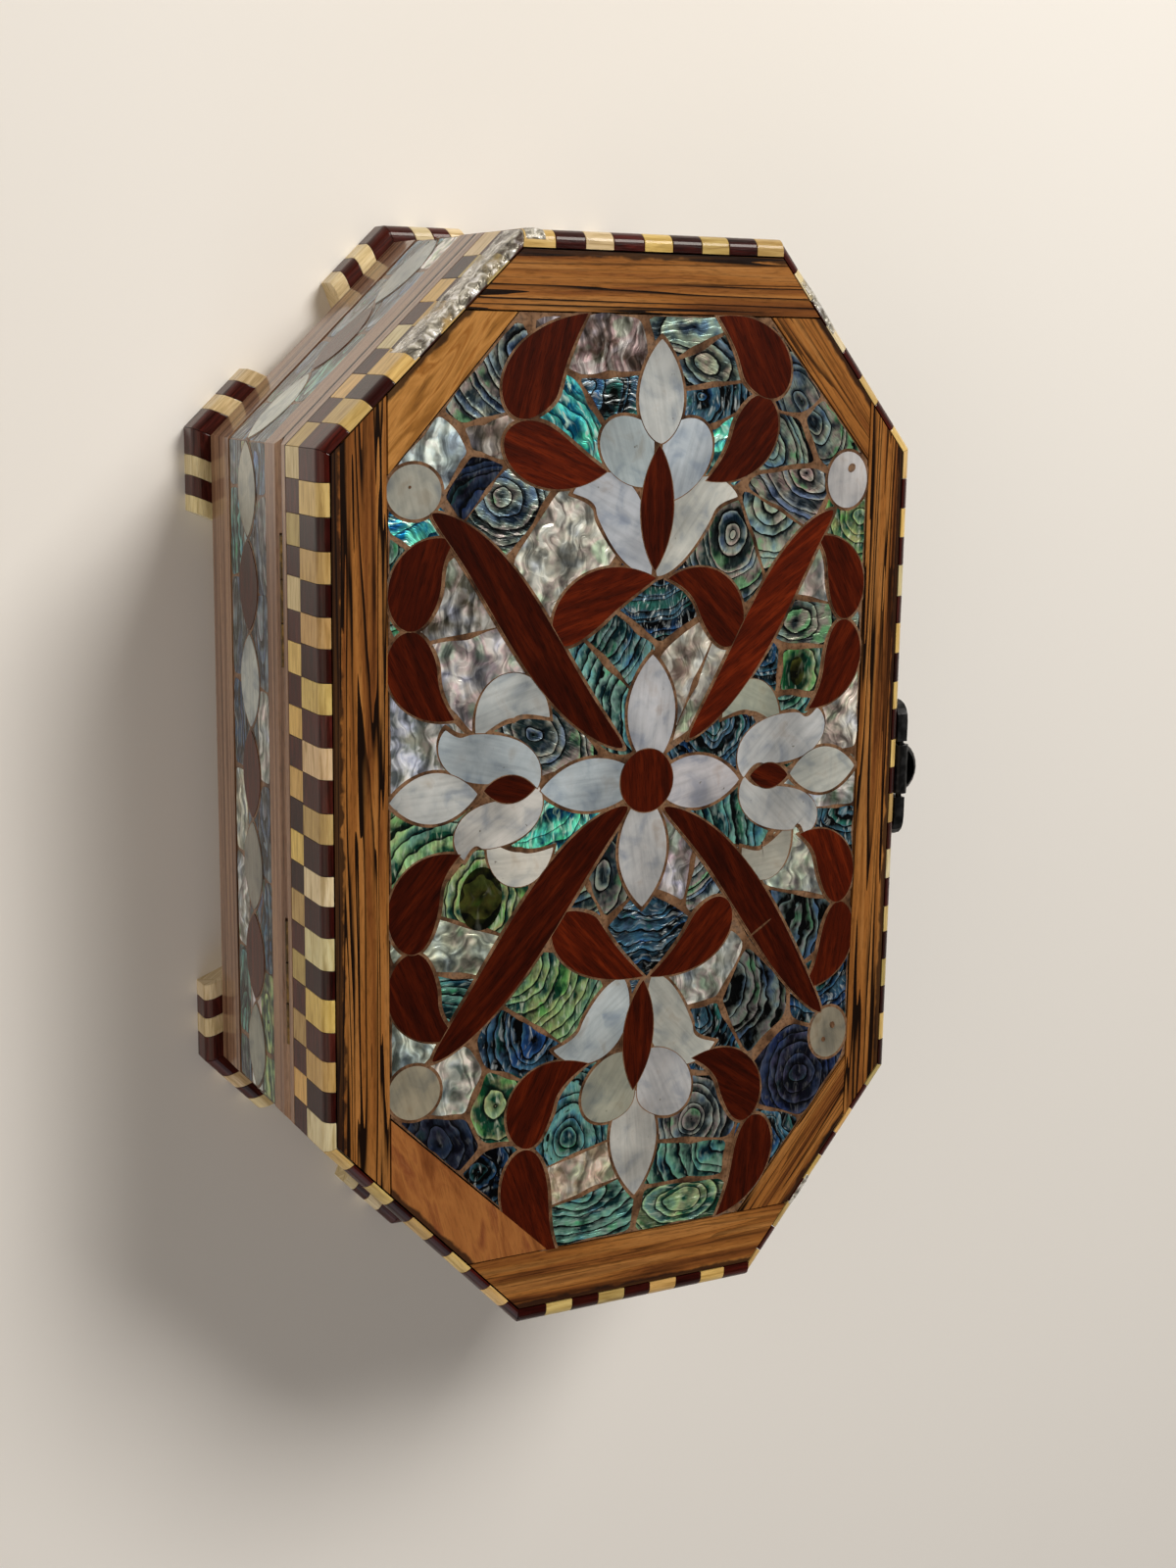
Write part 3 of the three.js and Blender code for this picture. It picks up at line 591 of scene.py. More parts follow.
ABALONE = abalone()
PEARL = mother_of_pearl()
GROUT = grout()
TILE_WOOD = {"from_uv": True, "tinted": True}
SQUARE_WOOD = {"along": 8.0, "across": 0.9, "coat": 0.4, **TILE_WOOD}
RED_WOOD = wood("mahogany", MAHOGANY, along=14.0, across=1.4, pores=0.5, **TILE_WOOD)
CREAM_WOOD = wood("boxwood_squares", BOXWOOD, pores=0.15, **SQUARE_WOOD)
DARK_WOOD = wood("stained_squares", STAINED, pores=0.25, **SQUARE_WOOD)
CARCASS = wood("carcass_boards", PLAIN, along=60.0, across=5.0, roughness=0.5)
print("finishes:", len(bpy.data.materials))

# %% [markdown]
# ## The shell picture on the lid
# The picture is made as the maker made it: motifs of pearl and mahogany are laid first, chips of abalone
# fill the field between them, and filler of wood dust closes the joints. Everything is flush under the
# lacquer, so each layer lies only a few hundredths of a millimetre over the next. X runs along the box, Y
# towards its back.

# %% Levels and the field
# mm below the lid's top
PLATE_LEVEL = 0.22
CHIP_LEVEL = 0.18
BED_LEVEL = 0.12
MOTIF_LEVEL = 0.01
LEVEL_STEP = 0.0008  # mm between one tile and the next, so that no two faces coincide
BED_WIDTH = 0.6  # mm of filler round a motif, below the chips' edges
JOINT_WIDTH = 0.16  # mm of filler that shows round a motif
FIELD = np.array([
    (-58.5, -51.3), (62.3, -51.3), (89.0, -28.2), (89.0, 23.8),
    (60.4, 48.9), (-56.9, 48.9), (-88.6, 16.3), (-88.6, -26.5),
])


def walls_of(corners, gap):
    """Half-planes of a convex outline: outward normals, and their distance from the origin less the gap."""
    _, normal = directions(corners)
    return normal, (normal * corners).sum(axis=1) - gap


# %% Mahogany motifs
# each: spine control points in mm, width, end powers, brightness
ROUND = (0.5, 0.5)
DROP = (0.5, 0.95)
LENS = (0.9, 0.9)
TENDRIL = (0.62, 0.62)
RED_MOTIFS = [
    ([(8.7, -3.5), (-3.5, -3.5)], 11.3, ROUND, 1.0),
    ([(53.8, 40.5), (44, 24), (22, 20), (9.4, 1.8)], 8.6, TENDRIL, 0.6),
    ([(52.7, -43.5), (43, -31), (25, -28), (10.2, -12.6)], 7.7, TENDRIL, 1.5),
    ([(-2.2, 0.5), (-11, 16), (-33, 23), (-47, 40.5)], 9.0, TENDRIL, 0.7),
    ([(-3, -7.5), (-13, -25), (-33, -31.5), (-48.5, -44.8)], 7.4, TENDRIL, 0.65),
    ([(65.4, -4.9), (42.4, -4.4)], 6.9, LENS, 0.8),
    ([(-36.8, -3.6), (-58.6, -1.8)], 6.5, LENS, 0.8),
    ([(3.3, 30.3), (3.1, 20)], 5.2, LENS, 0.75),
    ([(1.7, -26.4), (1.3, -35.0)], 5.0, LENS, 0.9),
    ([(70.3, 22), (80, 23.5), (88.9, 10.2)], 11.2, DROP, 0.85),
    ([(68.6, 25.6), (60.5, 17.5), (60.8, 6.0)], 10.6, DROP, 1.25),
    ([(74, -28.5), (84, -29.0), (88.8, -16.8)], 10.6, DROP, 0.85),
    ([(74.6, -26), (63, -27.5), (58.9, -15.0)], 9.6, DROP, 0.8),
    ([(29.3, 15.0), (39, 11), (40.5, 3), (41, -4.7)], 9.6, DROP, 1.2),
    ([(27.3, -20.3), (36, -20.5), (41.5, -16), (40.8, -7.3)], 9.2, DROP, 0.9),
    ([(33.2, 44.2), (46, 45.5), (49, 36.2)], 9.9, DROP, 0.8),
    ([(33, 44), (21.5, 47), (16.8, 36.2)], 9.7, DROP, 0.75),
    ([(31.7, -46.6), (44, -49.5), (47.9, -40.0)], 8.2, DROP, 0.9),
    ([(31.4, -46.3), (19.5, -49.5), (14.2, -39.4)], 8.2, DROP, 0.95),
    ([(-21.3, 12.6), (-30, 12.0), (-36, -3.6)], 10.4, DROP, 1.15),
    ([(-21.8, -20), (-32, -19.5), (-36.2, -4.9)], 9.2, DROP, 0.95),
    ([(-26, 43.8), (-11.5, 47), (-8.3, 35.1)], 9.9, DROP, 0.65),
    ([(-26, 43.6), (-39.5, 47.5), (-42.9, 35.7)], 9.9, DROP, 0.65),
    ([(-25.8, -47.5), (-12.5, -49), (-11, -38.4)], 8.2, DROP, 1.2),
    ([(-25.8, -48), (-38.5, -50), (-43, -40.2)], 7.7, DROP, 1.0),
    ([(-67.2, 20.3), (-53, 23.5), (-52, 8.2)], 9.7, DROP, 0.95),
    ([(-67.5, 21), (-82, 23.8), (-89, 14.6)], 10.0, DROP, 0.9),
    ([(-68.9, -26.5), (-55, -28.5), (-54.2, -15.0)], 9.2, DROP, 0.7),
    ([(-68.2, -29.5), (-80.5, -31.5), (-88.4, -21.3)], 8.7, DROP, 0.8),
]

# %% Pearl motifs
SILVER, BLUISH, MILKY, CREAMY, WARM = "#c9cdd0", "#bcc7d0", "#d0d3cd", "#acaea3", "#a39c8a"
PEARL_MOTIFS = [
    ([(26.6, -4.3), (4.5, -4.3)], 10.2, LENS, SILVER),
    ([(-22, -3), (0.5, -2.9)], 10.4, LENS, SILVER),
    ([(2.4, 18.8), (3, -3)], 10.0, LENS, BLUISH),
    ([(1.2, -23.9), (2, -4.5)], 10.3, LENS, SILVER),
    ([(84.6, -5), (65.8, -5.2)], 9.4, (0.85, 0.65), SILVER),
    ([(70.8, 2.8), (64, 2.5), (58, -2.8)], 11.2, (0.5, 0.8), BLUISH),
    ([(70.4, -11.2), (63, -11.5), (55.3, -7.5)], 10.6, (0.5, 0.85), BLUISH),
    ([(57, 12.8), (61, 2.0), (49, 3.2), (41.6, -3.6)], 9.2, (0.8, 0.75), BLUISH),
    ([(55.8, -21.9), (60, -11.5), (48.5, -10.5), (41.4, -4.9)], 9.0, (0.8, 0.75), MILKY),
    ([(-64.5, 4.4), (-58, 4.3), (-50.8, 0.4)], 11.6, (0.5, 0.7), CREAMY),
    ([(-65.2, -9.2), (-58, -9.8), (-51, -5.0)], 12.2, (0.5, 0.7), SILVER),
    ([(-48.4, 15.5), (-51.5, 4.5), (-42, 4.2), (-35.8, 0.8)], 9.2, (0.8, 0.7), BLUISH),
    ([(-51.5, -20), (-55.5, -9), (-44, -10), (-35.8, -5.8)], 9.2, (0.8, 0.7), MILKY),
    ([(-58.8, -1.7), (-80.6, -2.5)], 10.3, (0.7, 0.9), MILKY),
    ([(2.5, 48.8), (2.8, 31.6)], 9.4, LENS, SILVER),
    ([(15, 37.9), (5, 37.5), (13.2, 21), (3.0, 19.5)], 9.2, (0.75, 0.85), BLUISH),
    ([(-9.3, 34.2), (1.0, 36.0), (-7.5, 20.5), (3.4, 19.3)], 8.6, (0.8, 0.8), MILKY),
    ([(13, 31.8), (26.5, 26.0), (16.1, 17.1)], 8.4, LENS, SILVER),
    ([(-6, 29.6), (-17.0, 24.2), (-8.6, 16.1)], 6.6, LENS, MILKY),
    ([(2, -50.7), (1.5, -35.6)], 9.2, LENS, MILKY),
    ([(14.2, -41.4), (4.5, -42.5), (13.5, -24.5), (1.6, -25.0)], 9.6, (0.75, 0.8), SILVER),
    ([(-11.2, -39.5), (-2, -43.5), (-9, -25.5), (1.6, -25.2)], 8.6, (0.8, 0.8), SILVER),
    ([(13.6, -19.8), (23, -27), (11.1, -32.8)], 6.2, LENS, CREAMY),
    ([(-12.5, -25.1), (-21.5, -31), (-8.4, -36.2)], 6.8, LENS, CREAMY),
    ([(62.5, 43.9), (52.9, 43.9)], 10.4, ROUND, CREAMY),
    ([(64.0, -46.6), (53.2, -46.6)], 9.0, ROUND, SILVER),
    ([(-47.4, 44.2), (-57.8, 44.2)], 10.4, ROUND, WARM),
    ([(-47.8, -46.8), (-58.4, -46.8)], 8.6, ROUND, WARM),
]


def tone(hex_code, spread=0.06):
    """A colour a little lighter or darker than asked, so that no two tiles match."""
    lightness = 1 + rng.uniform(-spread, spread)
    return np.array(linear(hex_code)) * lightness * (1 + rng.uniform(-spread, spread, 4) / 2)


def grey(level):
    """A brightness as a colour, which tints red wood."""
    return np.array([level, level, level, 1.0])


def motif_tiles(motifs, shade_of, first_step):
    """Each motif, a narrow joint of filler just under its edge, and a wide bed under them all. Later motifs
    lie lower, so an earlier one and its joint cut into them, as a maker cuts one shell to fit the next."""
    beds, tiles = [], []
    for index, (spine, width, ends, shade) in enumerate(motifs):
        step = (first_step + index) * LEVEL_STEP
        level = MOTIF_LEVEL + 2 * step
        grid, uv = blade(spine, width, ends)
        tiles.append(tile(on_lid(grid, level), uv, shade_a=shade_of(shade)))
        for grow, bed_level in ((JOINT_WIDTH, level + LEVEL_STEP), (BED_WIDTH, BED_LEVEL + step)):
            grid, uv = blade(spine, width, ends, grow=grow)
            beds.append(tile(on_lid(grid, bed_level), uv))
    return tiles, beds


red_tiles, red_beds = motif_tiles(RED_MOTIFS, grey, 0)
pearl_tiles, pearl_beds = motif_tiles(PEARL_MOTIFS, tone, len(RED_MOTIFS))
make_piece("lid_mahogany_motifs", red_tiles, RED_WOOD, "lid")
make_piece("lid_pearl_motifs", pearl_tiles, PEARL, "lid")
# a crack across one tendril, and pits in the discs, all filled: spine and width
FLAWS = [
    ([(-27.6, -32.3), (-29.4, -29.4), (-31.3, -26.6)], 0.45),
    ([(60.2, -46.9), (61.6, -48.0)], 1.5),
    ([(-51.0, -47.6), (-52.4, -48.0)], 1.1),
    ([(-54.0, -45.6), (-55.0, -45.9)], 0.9),
    ([(58.3, 44.6), (58.8, 44.8)], 0.5),
]
flaws = [tile(on_lid(blade(spine, width, ROUND)[0], MOTIF_LEVEL / 2), np.zeros((6 * CURVE_STEPS, 2)))
         for spine, width in FLAWS]
make_piece("lid_filler_beds", red_beds + pearl_beds + flaws, GROUT, "lid")

# %% Shell chips on the lid
# each kind: two nacre colours, line darkness, painted highlights, wander, ripples, line spacing in mm
KINDS = {
    "ringed": ("#2c3c42", "#a6b6ae", 1.0, 0.15, 0.17, 0.08, 1.7),
    "green": ("#1f5c48", "#b2d498", 0.85, 0.8, 0.18, 0.25, 2.0),
    "bright": ("#0a6590", "#70fbe0", 0.6, 2.4, 0.25, 0.7, 2.2),
    "teal": ("#0f363e", "#7abcb2", 0.95, 0.5, 0.18, 0.18, 1.9),
    "silvery": ("#868b86", "#eef2ec", 0.15, 1.0, 0.22, 0.95, 6.5),
    "brown": ("#57514a", "#aeaaa2", 0.15, 0.9, 0.15, 0.95, 5.5),
    "mossy": ("#10160a", "#4b5424", 0.45, 0.15, 0.20, 0.15, 4.5),
    "inky": ("#04070a", "#44708c", 1.0, 0.9, 0.35, 0.35, 1.6),
    "navy": ("#131726", "#3c4a66", 0.85, 0.15, 0.22, 0.15, 1.7),
    "zebra": ("#080b0c", "#8c9a9a", 1.0, 0.1, 0.42, 0.0, 1.9),
    "pearly": ("#8a8478", "#e2ddd2", 0.12, 0.8, 0.20, 0.9, 6.0),
    "slate": ("#39464c", "#7e8f98", 0.7, 0.35, 0.20, 0.5, 1.5),
}
# each chip: x, y, kind, eye offset x, y, and where its rings aren't round, their stretch and turn in degrees
CHIPS = [
    (81.5, 6, "brown", 14, 10), (86.6, -11.5, "ringed", 0, 0, 2.2, 90),
    (80, -14.6, "ringed", 0.5, 0, 1.5, 60), (72.4, -15.5, "inky", 2, 2, 1.2, 0),
    (66.3, -18.3, "bright", 4, 4), (70.3, 12, "bright", -8, 8, 1.0, 30),
    (74.5, 5.5, "inky", 0, 8, 1.5, 90), (73, 31.5, "ringed", 9, -9), (67, 30, "brown", 6, 6),
    (64, 37, "silvery", 3, 3), (60.5, 32, "navy", -8, -3), (56, 26.7, "ringed", 0.5, 0, 1.2, 70),
    (47.5, 15, "silvery", 3, 4), (51, 43.5, "bright", 8, 6, 1.2, 60), (45, 47.6, "teal", 3, 3),
    (38, 35, "brown", 8, 8), (26, 33, "silvery", 6, 2), (65.5, -32.5, "ringed", 0, 4, 1.5, 40),
    (76.5, -35.5, "ringed", -3, 0, 1.6, 30), (69.5, -41.5, "ringed", 0, 3, 1.5, 40),
    (56.5, -33.5, "ringed", 3, -4, 1.6, 60), (46.5, -22, "ringed", 2, 1, 1.3, 0),
    (49.5, -29.5, "ringed", 5, 0), (49.3, -48, "green", 2, -2), (40, -38.5, "silvery", 6, 4),
    (31.8, -37, "ringed", 0, 1, 1.4, 90), (21.5, -36.5, "green", 0, 0, 1.3, 0),
    (21.8, -28.6, "inky", 4, 0), (13.5, -35.5, "teal", 6, 2), (12, -45.5, "silvery", 8, 4),
    (35.2, -4, "inky", 16, 0), (28, 1.5, "teal", 6, 10), (21.5, 8, "teal", -6, -16),
    (22.5, -11, "pearly", 8, 4), (20, -16.5, "pearly", 8, 8), (12.6, 18.5, "ringed", 0.5, 1.5, 1.5, 60),
    (13, 45, "silvery", 3, 10, 2.0, 0), (8.8, -22, "inky", 4, 4), (-3, 14.5, "bright", 8, 8),
    (-5.2, -20.5, "teal", -3, 14), (-2.4, -46, "silvery", 6, 6), (-9.5, -46, "inky", 4, -4),
    (-7.5, 43.5, "green", -12, -8), (-17, 30.5, "green", 0, 0, 1.3, 0),
    (-15, 5.6, "ringed", 0.5, 0, 1.8, 0), (-18, 11.5, "ringed", 6, 0),
    (-14, -11, "silvery", 8, 2, 1.5, 0), (-15.3, -17.2, "ringed", 4, 6),
    (-27.2, 34.5, "silvery", 10, 2, 1.5, 90), (-35, 36, "teal", -8, 4, 1.2, 90),
    (-27, -4.2, "inky", 8, 0, 1.2, 90), (-39, 17.5, "green", 9, 7), (-46.5, 23, "inky", 2, -3, 1.3, 0),
    (-53.3, 36.5, "silvery", 3, 8, 1.5, 0), (-57.5, 27.6, "green", 0, 0, 1.3, 10),
    (-63.5, 38, "navy", 0, 1, 1.5, 20), (-73.5, 28.5, "inky", 3, 3), (-42, 46.5, "silvery", 6, 6, 2.0, 0),
    (-66.5, 11.5, "teal", 0, 0.5, 1.2, 0), (-74, 9.5, "pearly", 12, 0),
    (-82.5, 7.5, "teal", 4, 2, 2.0, 90), (-66.8, -15.2, "ringed", 0, 0, 1.1, 0),
    (-75.5, -14, "teal", 3, -8), (-84, -13.6, "green", 0.5, 0, 1.8, 90),
    (-43.5, -26, "zebra", 6, 6, 1.6, 20), (-38.8, -17.5, "silvery", 2, 2), (-47.8, -18.2, "inky", 2, 2),
    (-29.5, -38, "zebra", 0, 0, 2.4, 0), (-17, -41.3, "silvery", 3, 0), (-42.5, -47.5, "inky", 3, 3),
    (-61, -40, "navy", 0, 0, 1.2, 0), (-77, -33.4, "inky", 2, 2),
]
GAP_RANGE = (0.5, 1.6)  # of the usual gap between chips
SPACING_RANGE = (0.8, 1.35)  # of the kind's line spacing
CHIP_GAP = 1.1  # mm
FIELD_GAP = 0.4  # mm from the frame strips


def chip_tiles(chips, walls, gap, place):
    """One cell for each seed; its map is turned and stretched so that one unit is one line spacing."""
    seeds = np.array([chip[:2] for chip in chips], float)
    tiles = []
    for index, (_, _, kind, eye_x, eye_y, *oval) in enumerate(chips):
        stretch, turn = oval or (1.0, 0)
        others = np.delete(seeds, index, axis=0)
        grid = cell(seeds[index], others, walls, gap * rng.uniform(*GAP_RANGE))
        first, second, line, painted_glint, wander, ripples, spacing = KINDS[kind]
        offset = grid[..., :2] - seeds[index] - (eye_x, eye_y)
        q = radians(turn)
        turned = offset @ np.array([[np.cos(q), -np.sin(q)], [np.sin(q), np.cos(q)]])
        uv = turned / (spacing * rng.uniform(*SPACING_RANGE) * np.array([stretch, 1.0]))
        tiles.append(tile(place(grid), uv, shade_a=tone(first, 0.2), shade_b=tone(second, 0.2),
                          figure=np.array([line, painted_glint, wander, ripples])))
    return tiles


def shell_eye(spine, width, kind):
    """An oval of another kind of shell in the middle of a chip."""
    first, second, line, painted_glint, wander, ripples, spacing = KINDS[kind]
    grid = blade(spine, width, ROUND)[0]
    middle = np.mean(spine, axis=0)
    level = (BED_LEVEL + CHIP_LEVEL) / 2
    return tile(on_lid(grid, level), (grid[..., :2] - middle) / spacing,
                shade_a=tone(first), shade_b=tone(second), figure=np.array([line, painted_glint, wander, ripples]))


chips = chip_tiles(CHIPS, walls_of(FIELD, FIELD_GAP), CHIP_GAP, lambda grid: on_lid(grid, CHIP_LEVEL))
chips.append(shell_eye([(-11.0, 30.6), (-23.0, 31.0)], 8.6, "mossy"))
chips.append(shell_eye([(24.6, -36.4), (19.0, -36.6)], 3.2, "mossy"))
make_piece("lid_abalone_chips", chips, ABALONE, "lid")

# %% The plate under the picture
PLATE_MARGIN = 0.15  # mm
plate_outline = inset(FIELD, PLATE_MARGIN)
plate_top = Z_LID_TOP - PLATE_LEVEL * MM
plate_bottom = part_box("inlaid_panel")[0].z


def plate_rings(outline, heights):
    """An outline in mm repeated at each height, closed at both ends by its own middle."""
    middle = np.broadcast_to(outline.mean(axis=0), outline.shape)
    rings = [(middle, heights[0])] + [(outline, z) for z in heights] + [(middle, heights[-1])]
    return np.stack([np.column_stack([ring * MM + (0, CENTRE_Y), np.full(len(ring), z)])
                     for ring, z in rings])


plate = plate_rings(plate_outline, (plate_bottom, plate_top))
plate_tile = tile(plate, plate[..., :2] / MM)
make_piece("lid_filler_plate", [plate_tile], GROUT, "lid", ["inlaid_panel"])

# %% [markdown]
# ## Courses of blocks
# Squares and feet are made alike: a closed profile is carried along a wall and cut into short blocks. The
# two blocks at a corner are mitred, so their ends lean by the way from the outer corner to the inner one.

# %% Blocks along a wall
BEVEL = 0.12  # mm, the worn arris of a block
GRAIN_SHIFT = 50  # mm, the reach of the shifts that give each block grain of its own


def mitre(side, at_end, inner, depth):
    """How far a block's end moves along the wall for each metre inwards: the lean of the corner's mitre
    line."""
    corner = (side + 1) % 8 if at_end else side
    return float((inner[corner] - CORNERS[corner]) @ ALONG[side]) / depth


def block_along(side, start, end, lean_start, lean_end, profile):
    """The profile (outward, z) carried from start to end, drawn in by the bevel near both ends and closed
    at its middle. A point lies back along the wall by the lean times its outward distance."""
    profile = np.asarray(profile, float)
    middle = profile.mean(axis=0)
    size = np.abs(profile - middle).max()
    small = middle + (profile - middle) * (1 - BEVEL * MM / size)
    point = middle + (profile - middle) * 0.001
    stations = [(start, lean_start, point), (start, lean_start, small),
                (start + BEVEL * MM, lean_start, profile), (end - BEVEL * MM, lean_end, profile),
                (end, lean_end, small), (end, lean_end, point)]
    rings = []
    for u, lean, ring in stations:
        along = u - lean * ring[:, 0]
        flat = CORNERS[side] + along[:, None] * ALONG[side] + ring[:, :1] * NORMAL[side]
        rings.append(np.column_stack([flat, ring[:, 1]]))
    grid = np.stack(rings)
    run = np.cumsum(np.linalg.norm(np.diff(profile, axis=0, prepend=profile[-1:]), axis=1))
    uv = np.stack([np.stack([np.full(len(profile), s[0]), run], axis=1) for s in stations]) / MM
    return grid, uv


# %% Checker courses
SQUARE = 5.85 * MM
SQUARE_SLIP = 0.25 * MM  # how far a cut strays from its even place
JOINT = 0.10 * MM
EDGE_ROUND = 2.2 * MM  # radius of the lid's worn edge
COURSE_OVERLAP = 0.25 * MM
CREAM_TONES = ("#ffffff", "#f2e2b8", "#fdeab4", "#d8caa4")
DARK_TONES = ("#ffffff", "#d8b8b8", "#ffd0c8", "#b89898")


def lower_profile(depth):
    """A rectangle from the wall's face inwards."""
    low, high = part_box("checker_lower")[0].z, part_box("checker_lower")[1].z + COURSE_OVERLAP
    return [(-depth, low), (0, low), (0, high), (-depth, high)]


def upper_profile(depth):
    """Straight up the face, then a quarter circle of the edge's radius, cut off at the rim's depth."""
    low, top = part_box("checker_upper")[0].z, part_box("checker_upper")[1].z
    last = np.arccos(max(1 - depth / EDGE_ROUND, 0.0))
    turn = np.linspace(0, last, 8)
    arc = [(EDGE_ROUND * (np.cos(q) - 1), top - EDGE_ROUND * (1 - np.sin(q))) for q in turn]
    inner = [(-depth, arc[-1][1])] if depth > EDGE_ROUND else []
    return [(-depth, low), (0, low)] + arc + inner


def checker(course, profile_of, starts_cream):
    """Alternate blocks round the box, about one square long, restarted at each corner."""
    inner = inset(CORNERS, LID_RIM)
    tiles = {True: [], False: []}
    for side in range(8):
        depth = LID_RIM[side]
        profile = profile_of(depth)
        count = int(round(LENGTH[side] / SQUARE))
        cuts = np.linspace(0, LENGTH[side], count + 1)
        cuts[1:-1] += rng.uniform(-1, 1, count - 1) * SQUARE_SLIP
        for k in range(count):
            lean_start = mitre(side, False, inner, depth) if k == 0 else 0.0
            lean_end = mitre(side, True, inner, depth) if k == count - 1 else 0.0
            start, end = cuts[k] + JOINT / 2, cuts[k + 1] - JOINT / 2
            grid, uv = block_along(side, start, end, lean_start, lean_end, profile)
            cream = (k % 2 == 0) == starts_cream[side]
            colour = rng.choice(CREAM_TONES if cream else DARK_TONES)
            uv = uv + rng.uniform(0, GRAIN_SHIFT, 2)
            tiles[cream].append(tile(grid, uv, shade_a=tone(colour, 0.12)))
    make_piece(f"{course}_cream_squares", tiles[True], CREAM_WOOD, "lid", [course])
    make_piece(f"{course}_dark_squares", tiles[False], DARK_WOOD, "lid")


# whether each side starts with a cream square, in the order of SIDES
checker("checker_lower", lower_profile, [True, False, True, True, True, False, True, False])
checker("checker_upper", upper_profile, [False, True, True, False, False, True, False, True])

# %% [markdown]
# ## Resin repairs
# Where squares were lost, the maker pressed crushed shell in clear resin over the edge. It makes a lumpy,
# glassy skin. The skin follows the rounded edge, thins out at its borders and shows the squares where it is
# thin.

# %% Resin skins
SKIN_DROP = 9 * MM  # from the lid's top to a skin's lower border
SKIN_LEAST = -0.05 * MM  # below nothing, where the squares stand proud of the skin
SKIN_BACK = 0.15 * MM  # how far its back lies inside the squares


def crushed_shell_resin():
    """Silver flakes about 1.6 mm across in grey resin, with deep wet-looking lumps; see-through where few
    flakes lie."""
    material, tree, shader = start_material("crushed_shell_resin", Roughness=0.16, Metallic=0.25, **LACQUER)
    where = add(tree, "TexCoord", give="Object")
    flakes = add(tree, "TexNoise", {"Vector": where, "Scale": 620.0, "Detail": 3.0, "Distortion": 1.0})
    colour = add(tree, "ValToRGB", {"Fac": flakes}, stops=[
        (0.32, "#5a5750"), (0.44, "#a09d92"), (0.54, "#cfccc0"), (0.64, "#ffffff")])
    tree.links.new(colour, shader.inputs["Base Color"])
    cover = add(tree, "TexNoise", {"Vector": where, "Scale": 260.0, "Detail": 2.0})
    density = add(tree, "ValToRGB", {"Fac": cover}, stops=[(0.38, 0.25), (0.56, 0.95)])
    tree.links.new(density, shader.inputs["Alpha"])
    lacquer(tree, shader, strength=0.6, relief=flakes, relief_strength=0.9, relief_depth=0.0006)
    return material


def resin_skin(side, start, end, thickness):
    """The upper course's profile carried along the wall, each point pushed out by a thickness: the root of
    a product of two half sines, which die out at the borders, times a lumpy sum of sines."""
    low = Z_LID_TOP - SKIN_DROP
    turn = np.linspace(0, radians(80), 12)
    face = [(0.0, z) for z in np.linspace(low, Z_LID_TOP - EDGE_ROUND, 8)[:-1]]
    arc = [(EDGE_ROUND * (np.cos(q) - 1), Z_LID_TOP - EDGE_ROUND * (1 - np.sin(q))) for q in turn]
    path = np.array(face + arc)
    outward = np.array([(1.0, 0.0)] * len(face) + [(np.cos(q), np.sin(q)) for q in turn])
    v = np.linspace(0, 1, len(path))
    stations = np.linspace(start, end, 60)
    phases = rng.uniform(0, 2 * np.pi, (4, 3))
    rings = []
    for u in stations:
        along = (u - start) / (end - start)
        lumps = sum(np.sin(a + (2 + 3 * k) * 6 * along) * np.sin(b + (3 + 2 * k) * 3 * v + c * along)
                    for k, (a, b, c) in enumerate(phases)) / 4
        fade = (np.sin(np.pi * np.clip(along, 0, 1)) + 1e-4) * (np.sin(np.pi * v) + 1e-4)
        skin = thickness * np.sqrt(fade) * (0.6 + 0.5 * lumps)
        top = path + outward * np.maximum(skin, SKIN_LEAST)[:, None]
        top[:, 1] = np.minimum(top[:, 1], Z_LID_TOP - MOTIF_LEVEL * MM)
        ring = np.concatenate([top, (path - outward * SKIN_BACK)[::-1]])
        flat = CORNERS[side] + u * ALONG[side] + ring[:, :1] * NORMAL[side]
        rings.append(np.column_stack([flat, ring[:, 1]]))
    ends = [np.broadcast_to(ring.mean(axis=0), ring.shape) for ring in (rings[0], rings[-1])]
    grid = np.stack([ends[0]] + rings + [ends[1]])
    return tile(grid, grid[..., :2] / MM)


RESIN = crushed_shell_resin()
right_end = LENGTH[2] / MM
# the side's number, then in mm start and end along it, and thickness
REPAIRS = [
    (3, 0.2, 31, 0.55), (2, right_end - 4, right_end - 0.2, 0.35),
    (1, 29, 41, 0.30), (7, 17, 24, 0.30),
]
skins = [resin_skin(side, start * MM, end * MM, thick * MM) for side, start, end, thick in REPAIRS]
make_piece("resin_repairs", skins, RESIN, "lid", smooth=True)

# %% [markdown]
# ## The inlaid band
# Between the strips runs a band of abalone with long pearl and mahogany lozenges set in it by turns. The
# same blades and cells are used as on the lid, laid on the walls instead.

# %% Band
BAND_HEIGHT = (Z_BAND[1] - Z_BAND[0]) / MM
LOZENGE = (17.3, 10.4)  # mm, long and high
LOZENGE_ENDS = (0.8, 0.8)
LOZENGE_BED = 0.4  # mm of filler round a lozenge
LOZENGE_PITCH = 18.4  # mm
BAND_CHIPS = {"slate": 0.5, "inky": 0.2, "teal": 0.12, "silvery": 0.1, "green": 0.08}  # share of each kind
BAND_CHIP_STRETCH = 4.0
BAND_GAP = 0.5  # mm between chips
BAND_MARGIN = 1.5  # mm from a wall's end to the nearest seed
BAND_DEPTH = 2 * MM


def on_wall(side, level):
    """Millimetres along and up a wall to metres in the frame; a tile's thickness runs along the wall's
    normal."""
    def place(grid):
        outwards = (grid[..., 2:] - level) * MM * NORMAL[side]
        flat = CORNERS[side] + grid[..., :1] * MM * ALONG[side] + outwards
        return np.concatenate([flat, grid[..., 1:2] * MM + Z_BAND[0]], axis=-1)
    return place


